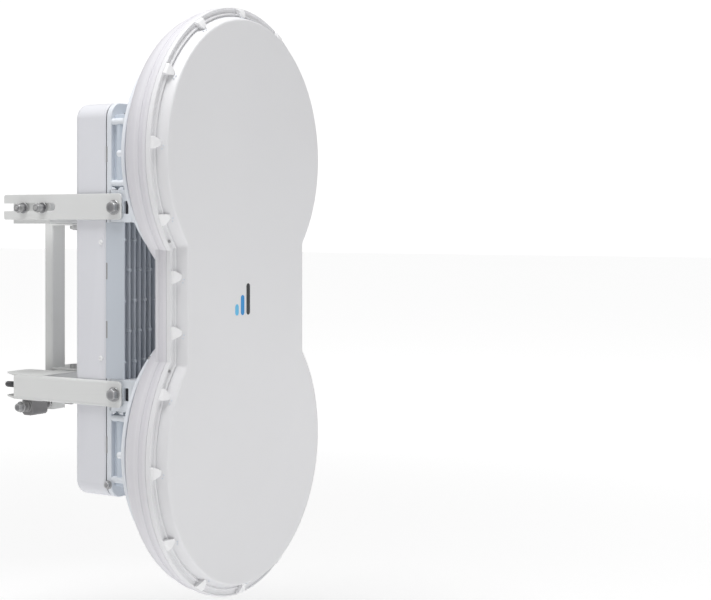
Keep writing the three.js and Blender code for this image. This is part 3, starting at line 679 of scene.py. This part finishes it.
def makeDish(level, centre):
    low, high = spanOf(f"{level}_reflector")
    rim, vertex, steps = (high.x - low.x) / 2, high.y - 2, 22
    front = [(16 + (rim - 16) * i / steps, vertex - 54 * ((16 + (rim - 16) * i / steps) / rim) ** 2)
             for i in range(steps + 1)]
    back = [(radius, depth + 2) for radius, depth in reversed(front)]
    bm = bmesh.new()
    addTurned(bm, front + [(rim + 0.2, front[-1][1] + 1)] + back, "y", centre, 96)
    addPiece(f"{level}_dish_reflector", bm, "dishMetal", "radio", [f"{level}_reflector"], smooth=50)
    low, high = spanOf(f"{level}_feed_tube")
    bm = bmesh.new()
    addTurned(bm, [(9, low.y), (9, 40), (10, 40.6), (10, 44), (9, 44.6), (9, 60), (14, 66), (14, high.y),
                   (6, high.y), (6, low.y)], "y", centre, 48)
    addPiece(f"{level}_feed", bm, "dishMetal", "radio", [f"{level}_feed_tube"])
    low, high = spanOf(f"{level}_subreflector")
    bm = bmesh.new()
    addTurned(bm, [(0, low.y), (29, low.y + 1.8), (30, low.y + 2.8), (30, low.y + 4.4), (27, low.y + 6),
                   (12, high.y), (0, high.y)], "y", centre, 64, False)
    addPiece(f"{level}_splash_plate", bm, "feedPlastic", "radio", [f"{level}_subreflector"])


makeFrame()
for level, end in (("upper", 1), ("lower", -1)):
    makeAntenna(level, end)
print("stage: antenna")


# radio housing: casting, fins, cover and what is on them
coverLow, coverHigh = spanOf("rear_cover")
castHigh = spanOf("housing_casting")[1]
housing = {
    "half": coverHigh.x,
    "top": coverHigh.z,
    "corner": 25,
    "plate": (198, castHigh.y),
    "finFront": 171,
    "finPitch": 12.6,
    "finWide": (3.0, 4.4),  # at the tip and at the root
    "finTop": 126.5,
    "pinRows": ((-98, 0, 98), (-49, 49)),
    "bossFront": 140,
    "bossZ": (126, 178),
    "pivot": (187, 150),
    "window": (163, 171.5, 10.5),  # from, to along Y, and half its height
    "ribZ": (189.5, 288.5),
    "pocketWall": 94,
    "tower": (56, 46),
    "plateScrews": ((-66, 300), (66, 300), (-66, -300), (66, -300)),
    "slots": ((223, 249), (34, 61), (-61, -33), (-247, -219)),
}


def makeCasting():
    half, top = housing["half"], housing["top"]
    plateFront, plateBack = housing["plate"]
    bm = bmesh.new()
    addPrism(bm, roundedPoints(top, half, housing["corner"], 10), "y", plateFront, plateBack)
    piece = addPiece("housing_base", bm, "ribWhite", "radio", ["housing_casting"], soften=1.6, steps=3)
    for end in (1, -1):
        drillHole(piece, "y", (0, 0, end * lobeHeight), housing["tower"][1], 190, 201, 64)
    for level, end in (("upper", 1), ("lower", -1)):
        makeTower(level, end)
        makeBoss(level, end)


def makeTower(level, end):
    half = housing["half"]
    plateFront, plateBack = housing["plate"]
    discBack = spanOf(f"{level}_mounting_ring")[1].y
    outer, inner = housing["tower"]
    z = end * lobeHeight
    bm = bmesh.new()
    addTurned(bm, [(inner, discBack + 0.4), (outer - 1, discBack + 0.4), (outer, discBack + 1.4),
                   (outer, plateFront + 0.5), (inner, plateFront + 0.5)], "y", (0, 0, z), 72)
    for turn in range(30, 360, 60):
        direction = Vector((math.cos(math.radians(turn)), 0, math.sin(math.radians(turn))))
        gusset = [(outer - 2, discBack + 12), (outer + 4, 168), (outer + 12, plateFront + 0.4),
                  (outer - 2, plateFront + 0.4)]
        addAlong(bm, (Vector((0, 0, z)), direction), gusset, 5)
    addPiece(f"{level}_tower_tube", bm, "castWhite", "radio", smooth=36, soften=0.6)
    bm = bmesh.new()
    low, high = sorted((end * 177, end * 300))
    wall = housing["pocketWall"]
    addBox(bm, (-wall, housing["finFront"] + 4, low), (wall, plateFront + 0.5, high), 1)
    for side in (-1, 1):  # a round column in each side pocket, and the ribs above and below it
        ring = arcPoints((side * (wall - 1), 184.5), 8.2, 0, 360, 28)[:-1]
        addPrism(bm, ring, "z", *sorted((end * 194, end * 284)), 1)
        for rib in housing["ribZ"]:
            ribHalf = 5.4
            ridge = [(end * rib + ribHalf * math.sin(math.radians(a)),
                      side * (half - 5.6 + ribHalf * math.cos(math.radians(a)))) for a in range(-90, 91, 15)]
            ridge += [(end * rib + ribHalf, side * 40), (end * rib - ribHalf, side * 40)]
            addPrism(bm, ridge, "y", housing["finFront"] + 2.2, plateBack - 1)
            post = [(end * rib - 5, side * (half - 8)), (end * rib + 5, side * (half - 8)),
                    (end * rib + 5, side * (half - 1)), (end * rib - 5, side * (half - 1))]
            addPrism(bm, post, "y", discBack + 0.5, housing["finFront"] + 5)
        saddle = [(175, 178), (175, 183.2), (181, 182.6), (184.5, 179.8), (187.5, 178.6), (190.5, 179.8),
                  (194, 182.6), (200, 183.2), (200, 178)]
        addPrism(bm, [(y, end * height) for y, height in saddle], "x",
                 *sorted((side * (half - 5), side * (half - 1))))
    addPiece(f"{level}_tower_ribs", bm, "ribWhite", "radio", smooth=30, soften=0.8, extra=["castWhite"])


def makeBoss(level, end):
    half = housing["half"]
    low, high = sorted((end * housing["bossZ"][0], end * housing["bossZ"][1]))
    pivotY, pivotZ = housing["pivot"]
    plan = [(-half, housing["plate"][0] + 3), (-half, 158), (-half + 5, housing["bossFront"]),
            (half - 5, housing["bossFront"]), (half, 158), (half, housing["plate"][0] + 3)]
    bm = bmesh.new()
    addPrism(bm, plan, "z", low, high)
    piece = addPiece(f"{level}_pivot_boss", bm, "ribWhite", "radio", smooth=15, soften=2.2, steps=3)
    first, last, tall = housing["window"]
    for side in (-1, 1):
        cutter = bmesh.new()
        window = roundedPoints((last - first) / 2, tall, 1.5, 3, ((first + last) / 2, end * pivotZ))
        addPrism(cutter, window, "x", *sorted((side * 78, side * (half + 4))))
        carve(piece, cutter)
        drillHole(piece, "x", (0, pivotY, end * pivotZ), 6.3, side * 80, side * 115)
    bm = bmesh.new()
    for side in (-1, 1):
        addTurned(bm, [(6.3, side * (half - 1)), (14, side * (half - 1)), (14, side * (half + 2.6)),
                       (13, side * (half + 3.6)), (6.3, side * (half + 3.6))],
                  "x", (0, pivotY, end * pivotZ), 48)
    addPiece(f"{level}_pivot_pads", bm, "ribWhite", "radio")
    # painted shadow: a dark block fills each window, standing for the shade inside the pocket
    bm = bmesh.new()
    for side in (-1, 1):
        addPrism(bm, roundedPoints((last - first) / 2 - 0.05, tall - 0.05, 1.4, 3,
                                   ((first + last) / 2, end * pivotZ)), "x",
                 *sorted((side * 79, side * (half - 4))))
    addPiece(f"{level}_boss_window_shadow_fill", bm, "shadowGap", "radio")


def makeFins():
    half, top = housing["half"], housing["finTop"]
    front, root = housing["finFront"], housing["plate"][0] + 0.5
    tip, base = housing["finWide"]
    count = int(2 * (half - base / 2) // housing["finPitch"])
    bm, pins = bmesh.new(), bmesh.new()
    addBox(bm, (-half + 1, 195.5, -top), (half - 1, root, top))
    for i in range(count + 1):
        x = -half + base / 2 + i * 2 * (half - base / 2) / count
        side = (i == count) - (i == 0)
        left = -base / 2 if side < 0 else -tip / 2
        right = base / 2 if side > 0 else tip / 2
        plan = [(x - base / 2, root), (x + left, front + 1.4), (x + left + 0.7, front + 0.3),
                (x, front), (x + right - 0.7, front + 0.3), (x + right, front + 1.4), (x + base / 2, root)]
        addPrism(bm, plan, "z", -top, top)
        wide, deep = (3.1, 9) if side == 0 else (2.2, 2)
        for z in housing["pinRows"][i % 2]:
            addTurned(pins, [(0, front - 1.3), (wide * 0.7, front - 1.2), (wide * 0.93, front - 0.4),
                             (wide, front + 1), (wide, front + deep), (0, front + deep)], "y", (x, 0, z), 18,
                      False)
    addPiece("cooling_fins", bm, "finGrey", "radio", smooth=40)
    addPiece("fin_pins", pins, "pinGrey", "radio", smooth=40)
    bm = bmesh.new()
    for side in (-1, 1):
        x0, x1 = sorted((side * (half - 4.2), side * (half + 0.02)))
        outline = [(front + 0.8, -top), (209, -top), (209, top), (front + 0.8, top)]
        addPrism(bm, outline, "x", x0, x1)
    addPiece("fin_side_walls", bm, "wallGrey", "radio", smooth=30, soften=1.0)


def makeCover():
    half, top, corner = housing["half"], housing["top"], housing["corner"]

    def around(inset):
        return roundedPoints(half - inset, top - inset, max(corner - inset, 3), 12)

    front, back = coverLow.y, coverHigh.y
    edge = 12
    section = [(30, back), (edge, back)]
    section += [(edge - edge * math.sin(math.radians(a)), back - edge + edge * math.cos(math.radians(a)))
                for a in range(10, 91, 10)]
    section += [(0, front + 3.2), (0.5, front + 2.6), (0.5, front + 0.5), (1.0, front), (2.6, front),
                (3, front + 0.4), (3, back - 10), (4, back - 5), (9, back - 4), (30, back - 4)]
    bm = bmesh.new()
    sweepSection(bm, lambda inset: around(inset), section)
    piece = addPiece("radio_back_cover", bm, "coverWhite", "radio", ["rear_cover"], smooth=30)
    cutter = bmesh.new()
    addPrism(cutter, roundedPoints(13, 52, 3, 4, (245, 0)), "z", -top - 2, -top + 7)
    carve(piece, cutter)
    for side in (-1, 1):
        for z in (-94, 94):
            drillHole(piece, "x", (0, 219, z), 2.4, side * (half - 6), side * (half + 2), 24)
    bm = bmesh.new()
    low, high = spanOf("cover_gasket")
    sweepSection(bm, around, [(1.6, low.y), (7, low.y), (7, high.y), (1.6, high.y)], True)
    addPiece("cover_seal", bm, "sealRubber", "radio", ["cover_gasket"])
    bm = bmesh.new()
    for side in (-1, 1):
        for low, high in housing["slots"]:
            addPrism(bm, roundedPoints(1.5, (high - low) / 2, 1.2, 4, (207.2, (low + high) / 2)), "x",
                     *sorted((side * (half - 3), side * (half + 0.12))))
    addPiece("parting_slots", bm, "blockGrey", "radio")
    makeSmallScrews()


def makeSmallScrews():
    half = housing["half"]
    for level, z in (("upper", 94), ("lower", -94)):
        for name, side in (("left", -1), ("right", 1)):
            bm = bmesh.new()
            outline = [(0, -5.8), (2, -5.8), (2, 0.4), (4.3, 0.4), (4.2, 1.3), (3.2, 2.2), (1.9, 2.4),
                       (1.5, 1.2), (0, 1.2)]
            addTurned(bm, [(radius, side * (half + out)) for radius, out in outline], "x",
                      (0, 219, z), 36, False)
            # the screw caps are white, and their clip white, lighter than the cover, is partly painted
            # highlight
            addPiece(f"cover_screw_{level}_{name}_turned", bm, "clipWhite", "radio",
                     [f"cover_screw_{level}_{name}"])
    bm = bmesh.new()
    front = housing["plate"][0]
    for x, z in housing["plateScrews"]:
        boltHead(bm, "y", (x, 0, z), front - 0.1, front - 4.2, 7.4, washer=(5.2, 0.9))
    addPiece("plate_screws", bm, "zincSteel", "radio")
    low, high = spanOf("ground_screw")
    bm = bmesh.new()
    centre = (0, (low.y + high.y) / 2, (low.z + high.z) / 2)
    boltHead(bm, "x", centre, -half - 2.0, -half - 6.9, 10.4, washer=(7.2, 1.6))
    threadedShank(bm, "x", centre, -half - 1, -half + 11.6, 3, 1.0)
    addPiece("ground_stud", bm, "zincSteel", "radio", ["ground_screw"])


makeCasting()
makeFins()
makeCover()
print("stage: housing")


# tilt and swivel bracket: bent sheet arms, plates and channel, with the bolts that hold them
armLow, armHigh = spanOf("upper_arm_left")
yokeLow, yokeHigh = spanOf("lower_yoke")
channelLow, channelHigh = spanOf("pole_channel")
bracket = {
    "inner": 107,
    "outer": armHigh.x if armHigh.x > 0 else -armLow.x,
    "armHalf": 21,
    "slotMiddle": 151.5,
    "slotHalf": 6.3,
    "slotFront": 311,
    "boltPlaces": (337, 379),
    "pivot": (187, 150),
    "sheet": 3,
    "lipFrom": 104.6,  # the bent-in edges of the lower arms stand this far from the middle
    "swivel": 360,
    "web": 340,
    "screw": (405.5, -187),
    "pivotHole": 6.4,  # radii of the holes
    "swivelHole": 5.3,
    "screwHole": 7.4,
    "clampHole": 5.2,
    "clampHoles": (-100, -60, 60, 100),
}


def armOutline(front, back, z, corner):
    # a long plate with a round nose, given as (y, z) points
    half = bracket["armHalf"]
    points = arcPoints((front + corner, z - half + corner), corner, 270, 180, 8)
    points += arcPoints((front + corner, z + half - corner), corner, 180, 90, 8)
    points += arcPoints((back - 4, z + half - 4), 4, 90, 0, 4)
    points += arcPoints((back - 4, z - half + 4), 4, 0, -90, 4)
    return points


def makeUpperArm(name, side):
    inner, outer = bracket["inner"], bracket["outer"]
    low, high = spanOf(f"upper_arm_{name}")
    z = bracket["slotMiddle"]
    bm = bmesh.new()
    addPrism(bm, armOutline(low.y, high.y, z, 6), "x", *sorted((side * inner, side * outer)))
    piece = addPiece(f"upper_arm_{name}_plate", bm, "bracketWhite", "upper_arms", [f"upper_arm_{name}"],
                     smooth=40, soften=0.8, steps=3)
    half, front = bracket["slotHalf"], bracket["slotFront"]
    across = sorted((side * (inner - 2), side * (outer + 2)))
    cutter = bmesh.new()
    middle = (front + half, z)
    outline = arcPoints(middle, half, 90, 270, 16) + [(high.y + 3, z - half), (high.y + 3, z + half)]
    addPrism(cutter, outline, "x", *across)
    carve(piece, cutter)
    drillHole(piece, "x", (0, *bracket["pivot"]), bracket["pivotHole"], *across)


def makeCrossbar():
    low, high = spanOf("upper_crossbar")
    half, sheet = high.x, bracket["sheet"]
    floor, front, top = low.z, low.y, high.z
    plan = [(-half, front + 2), (half, front + 2), (half, 405), (86, high.y), (30, high.y), (30, 388),
            (-30, 388), (-30, high.y), (-86, high.y), (-half, 405)]
    bm = bmesh.new()
    addPrism(bm, plan, "z", floor, floor + sheet)
    bend = 5
    wall = [(front, top), (front, floor + bend)]
    wall += arcPoints((front + bend, floor + bend), bend, 180, 270, 6)[1:]
    wall += [(front + bend + 3, floor), (front + bend + 3, floor + sheet)]
    wall += arcPoints((front + bend, floor + bend), bend - sheet, 270, 180, 6) + [(front + sheet, top)]
    addPrism(bm, wall, "x", -half + 1, half - 1)
    for side in (-1, 1):
        x0, x1 = sorted((side * (half - sheet), side * half))
        flank = arcPoints((front + 5, floor + 5), 5, 180, 270, 5) + [(405, floor), (405, top - 5)]
        flank += arcPoints((400, top - 5), 5, 0, 90, 5)[1:] + [(front + 4, top), (front + 0.6, top - 4)]
        addPrism(bm, flank, "x", x0, x1)
    piece = addPiece("crossbar_tray", bm, "bracketWhite", "yoke", ["upper_crossbar"], smooth=35, soften=0.7)
    drillHole(piece, "z", (0, bracket["swivel"], 0), bracket["swivelHole"], floor - 2, floor + 6, 36, True)


def makeYoke():
    low, high = yokeLow, yokeHigh
    outer, inner, sheet, web = bracket["outer"], bracket["inner"], bracket["sheet"], bracket["web"]
    plan = [(-outer + 1, web), (outer - 1, web), (outer - 1, 402), (84, high.y), (36, high.y),
            (30, high.y - 8), (30, 388), (-30, 388), (-30, high.y - 8), (-36, high.y), (-84, high.y),
            (-outer + 1, 402)]
    bm = bmesh.new()
    addPrism(bm, plan, "z", high.z - sheet, high.z)
    addPrism(bm, plan, "z", low.z, low.z + sheet)
    addBox(bm, (-outer + 2, web, low.z + 1), (outer - 2, web + sheet, high.z - 1))
    z = (low.z + high.z) / 2
    tall = bracket["armHalf"]
    bend = 6
    for side in (-1, 1):
        # channel-shaped arm: outer skin, bent edges and the returns that point inwards
        skin = [(side * bracket["lipFrom"], tall), (side * (outer - bend * 0.8), tall)]
        skin += [(side * (outer - bend * 0.8 + bend * 0.8 * math.sin(math.radians(a))),
                  tall - bend * (1 - math.cos(math.radians(a)))) for a in range(15, 91, 15)]
        skin += [(x, -height) for x, height in reversed(skin)]
        thin = [(side * bracket["lipFrom"], -tall + sheet), (side * (inner - 0.8), -tall + sheet),
                (side * inner, -tall + sheet + 1.2), (side * inner, tall - sheet - 1.2),
                (side * (inner - 0.8), tall - sheet), (side * bracket["lipFrom"], tall - sheet)]
        addPrism(bm, [(z + height, x) for x, height in skin + thin], "y", low.y + 12, 402)
        nose = armOutline(low.y, low.y + 30, z, 8)
        addPrism(bm, nose, "x", *sorted((side * (inner + 0.1), side * (outer - 0.05))))
    piece = addPiece("lower_yoke_sheet", bm, "bracketWhite", "yoke", ["lower_yoke"], smooth=35, soften=0.7)
    drillHole(piece, "z", (0, bracket["swivel"], 0), bracket["swivelHole"], high.z - 6, high.z + 2, 36, True)
    pivotY, pivotZ = bracket["pivot"]
    drillHole(piece, "x", (0, pivotY, -pivotZ), bracket["pivotHole"], -outer - 3, outer + 3, 40, True)


def makeChannel():
    low, high = channelLow, channelHigh
    half, wall = high.x, 2.5
    front, back = 396, high.y
    outline = []
    for x, y, start in ((half, back, 0), (-half, back, 90), (-half, front, 180), (half, front, 270)):
        centre = (math.copysign(half - 4, x), y + (-4 if y == back else 4))
        outline += arcPoints(centre, 4, start, start + 90, 5)
    bm = bmesh.new()
    addPrism(bm, outline, "z", low.z, high.z)
    piece = addPiece("channel_tube", bm, "bracketWhite", "pole_mount", ["pole_channel"], smooth=35,
                     soften=0.8)
    cutter = bmesh.new()
    addBox(cutter, (-half + wall, front + wall, low.z - 3), (half - wall, back - wall, high.z + 3))
    carve(piece, cutter)
    drillHole(piece, "x", (0, *bracket["screw"]), bracket["screwHole"], -half - 3, half + 3)
    for z in bracket["clampHoles"]:
        drillHole(piece, "y", (0, 0, z), bracket["clampHole"], back - wall - 2, back + 2, 32)
    bm = bmesh.new()
    sheet = bracket["sheet"]
    for bottom in (spanOf("upper_crossbar")[0].z - sheet - 0.3, yokeHigh.z + 0.3):
        plan = [(half, front + 1), (-half, front + 1), (-half, bracket["swivel"])]
        plan += [(half * math.cos(math.radians(a)), bracket["swivel"] + 14 * math.sin(math.radians(a)))
                 for a in range(195, 360, 15)] + [(half, bracket["swivel"])]
        addPrism(bm, plan, "z", bottom, bottom + sheet)
    tabs = addPiece("channel_swivel_tabs", bm, "bracketWhite", "pole_mount", smooth=35, soften=0.6)
    drillHole(tabs, "z", (0, bracket["swivel"], 0), bracket["swivelHole"], -200, 200, 36)


def makeBolts():
    outer, inner = bracket["outer"], bracket["inner"]
    for name, side in (("left", -1), ("right", 1)):
        for level, end in (("upper", 1), ("lower", -1)):
            node = f"{level}_pivot_bolt_{name}"
            bm = bmesh.new()
            centre = (0, bracket["pivot"][0], end * bracket["pivot"][1])
            boltHead(bm, "x", centre, side * (outer + 2), side * (outer + 9.3), 18.2, washer=(12, 1.6))
            threadedShank(bm, "x", centre, side * (outer + 2), side * 84.2, 6, 1.75)
            addPiece(f"{node}_turned", bm, "zincSteel", "radio", [node], smooth=30)
        reach = max(abs(place.x) for place in spanOf(f"slot_bolt_front_{name}"))
        for place, y in zip(("front", "rear"), bracket["boltPlaces"]):
            centre = (0, y, bracket["pivot"][1])
            bm = bmesh.new()
            tab = inner - 0.3 - bracket["sheet"]
            boltHead(bm, "x", centre, side * (tab - 0.4), side * (tab - 7), 12.4)
            threadedShank(bm, "x", centre, side * (tab - 0.6), side * (reach - 0.2), 4, 1.25)
            addPiece(f"slot_bolt_{place}_{name}_turned", bm, "zincSteel", "yoke",
                     [f"slot_bolt_{place}_{name}"], smooth=30)
            bm = bmesh.new()
            outline = [(4.3, 0.4), (8.6, 0.4), (9, 0.8), (9, 1.8), (8.6, 2.2), (6.2, 2.4), (6.2, 5.4),
                       (5.7, 5.8), (6.2, 6.2), (6.2, reach - 9 - outer), (4.3, reach - 9 - outer)]
            addTurned(bm, [(radius, side * (outer + out)) for radius, out in outline], "x", centre, 40)
            boltHead(bm, "x", centre, side * (reach - 9), side * (reach - 1.7), 13.4)
            addPiece(f"slot_nut_{place}_{name}_turned", bm, "zincSteel", "yoke",
                     [f"slot_nut_{place}_{name}"], smooth=30)
        low, high = spanOf(f"clamp_stud_{name}")
        x, z = (low.x + high.x) / 2, (low.z + high.z) / 2
        bm = bmesh.new()
        web, sheet = bracket["web"], bracket["sheet"]
        boltHead(bm, "y", (x, 0, z), web - 0.4, low.y + 0.1, 17.8)
        boltHead(bm, "y", (x, 0, z), web + sheet + 0.4, web + sheet + 10, 17.8)
        threadedShank(bm, "y", (x, 0, z), web - 1, high.y, 5, 1.5)
        addPiece(f"clamp_stud_{name}_turned", bm, "darkSteel", "yoke", [f"clamp_stud_{name}"], smooth=30)
    for node in ("upper_swivel_bolt", "lower_swivel_bolt"):
        low, high = spanOf(node)
        bm = bmesh.new()
        centre = (0, bracket["swivel"], 0)
        boltHead(bm, "z", centre, high.z - 6.6, high.z, 16)
        boltHead(bm, "z", centre, low.z + 7.6, low.z + 1.6, 16)
        threadedShank(bm, "z", centre, high.z - 6, low.z, 5, 1.5)
        addPiece(f"{node}_turned", bm, "zincSteel", "pole_mount", [node], smooth=30)


# azimuth adjuster: the block under the yoke, the screw through the channel and its tapered nut
def makeAdjuster():
    low, high = spanOf("adjuster_block")
    y, z = bracket["screw"]
    left = low.x + 6
    bm = bmesh.new()
    outline = [(y - 12, high.z), (y - 12, low.z + 4), (y - 8, low.z), (y + 8, low.z), (y + 12, low.z + 4),
               (y + 12, high.z)]
    addPrism(bm, outline, "x", left, high.x)
    block = addPiece("adjuster_block_cast", bm, "blockGrey", "yoke", ["adjuster_block"], smooth=35,
                     soften=1.2, steps=3)
    drillHole(block, "x", (0, y, z), 3.3, left - 2, high.x + 2, 32)
    bm = bmesh.new()
    addTurned(bm, [(3.4, low.x), (7.6, low.x), (8.8, low.x + 0.8), (8.8, low.x + 2.6), (7.8, low.x + 3.0),
                   (7.8, low.x + 3.8), (9.4, low.x + 4.2), (10.6, left + 0.4), (3.4, left + 0.4)],
              "x", (0, y, z), 48)
    addPiece("adjuster_collar", bm, "blockGrey", "yoke", smooth=30)
    low, high = spanOf("adjuster_bolt")
    bm = bmesh.new()
    centre = ((low.x + high.x) / 2, (low.y + high.y) / 2, 0)
    boltHead(bm, "z", centre, high.z - 5, high.z, 10.8)
    threadedShank(bm, "z", centre, high.z - 4.6, low.z, 3, 1.0)
    addPiece("adjuster_bolt_turned", bm, "zincSteel", "yoke", ["adjuster_bolt"], smooth=30)
    low, high = spanOf("azimuth_screw")
    bm = bmesh.new()
    boltHead(bm, "x", (0, y, z), low.x + 8, low.x + 0.1, 13.6)
    addTurned(bm, [(0, low.x + 7.8), (8.8, low.x + 7.8), (9.4, low.x + 8.3), (9.4, low.x + 9.6),
                   (8.6, low.x + 10), (0, low.x + 10)], "x", (0, y, z), 48, False)
    threadedShank(bm, "x", (0, y, z), low.x + 9, high.x, 3, 1.0)
    addTurned(bm, [(2.4, -23.4), (8.4, -23.4), (9, -22.8), (9, -20.9), (8.6, -20.5), (2.4, -20.5)], "x",
              (0, y, z), 40)
    addPiece("azimuth_screw_turned", bm, "zincSteel", "adjusting_screw", ["azimuth_screw"], smooth=30)
    low, high = spanOf("thrust_nut")
    bm = bmesh.new()
    addTurned(bm, [(3.25, low.x), (5, low.x), (5.4, low.x + 0.6), (8.4, high.x - 5.4), (8.9, high.x - 4.4),
                   (9, high.x - 0.8), (8.2, high.x), (3.25, high.x)], "x", (0, y, z), 40)
    addPiece("thrust_nut_turned", bm, "darkSteel", "screw_tip", ["thrust_nut"], smooth=30)


for name, side in (("left", -1), ("right", 1)):
    makeUpperArm(name, side)
makeCrossbar()
makeYoke()
makeChannel()
makeBolts()
makeAdjuster()
print("stage: bracket")


# electronics behind the cover
def makeElectronics():
    low, high = spanOf("main_board")
    bm = bmesh.new()
    board = roundedPoints((high.z - low.z) / 2, (high.x - low.x) / 2, 4, 5, ((low.z + high.z) / 2, 0))
    addPrism(bm, board, "y", low.y, high.y)
    addPiece("radio_board", bm, "boardGreen", "radio", ["main_board"], smooth=40, soften=0.15, steps=1)
    for node, finish in (("upper_shield_can", "canSteel"), ("lower_shield_can", "canSteel"),
                         ("power_module", "portBlack"), ("gps_patch", "feedPlastic")):
        low, high = spanOf(node)
        middle = ((low.z + high.z) / 2, (low.x + high.x) / 2)
        halfWide, halfHigh = (high.z - low.z) / 2, (high.x - low.x) / 2
        bm = bmesh.new()
        addPrism(bm, roundedPoints(halfWide, halfHigh, 2.5, 5, middle), "y", low.y, high.y)
        addPiece(f"{node}_shell", bm, finish, "radio", [node], smooth=35, soften=0.9)
    low, high = spanOf("port_block")
    bm = bmesh.new()
    addBox(bm, low, high)
    piece = addPiece("socket_block", bm, "portBlack", "radio", ["port_block"], smooth=35, soften=1.0)
    for x in (-31, 0, 31):
        cutter = bmesh.new()
        addPrism(cutter, roundedPoints(8, 7, 1.0, 3, (x, low.y + 13)), "z", low.z - 2, low.z + 18)
        carve(piece, cutter)


makeElectronics()
print("stage: electronics")


# floor under the floating unit
def makeFloor():
    bm = bmesh.new()
    size, steps = 30, 40  # metres either way, and squares along a side
    middle = (cadLow + cadHigh) / 2
    height = cadLow.z - lightSetup["floorDrop"]
    grid = [[bm.verts.new((middle.x - size + 2 * size * i / steps,
                           middle.y - size + 2 * size * j / steps, height))
             for j in range(steps + 1)] for i in range(steps + 1)]
    for i in range(steps):
        for j in range(steps):
            bm.faces.new([grid[i][j], grid[i + 1][j], grid[i + 1][j + 1], grid[i][j + 1]])
    mesh = bpy.data.meshes.new("floor")
    bm.to_mesh(mesh)
    bm.free()
    floor = bpy.data.objects.new("floor", mesh)
    scene.collection.objects.link(floor)
    material = makeFinish("paperWhite", {"colour": (0.93, 0.93, 0.93), "shade": (0.92, 0.92, 0.92),
                                         "roughness": (0.85, 0.95), "grain": (6, 0.05), "driftScale": 0.6})
    tree = material.node_tree
    shader = tree.nodes["Principled BSDF"]
    coords = tree.nodes.new("ShaderNodeTexCoord").outputs["Object"]
    apart = tree.nodes.new("ShaderNodeVectorMath")
    apart.operation = "LENGTH"
    tree.links.new(coords, apart.inputs[0])
    glow = rangeOf(tree, apart.outputs["Value"], 0.25, lightSetup["floorGlow"], 1.0, 3.4)
    shader.inputs["Emission Color"].default_value = (1, 1, 1, 1)
    tree.links.new(glow, shader.inputs["Emission Strength"])
    mesh.materials.append(material)


makeFloor()
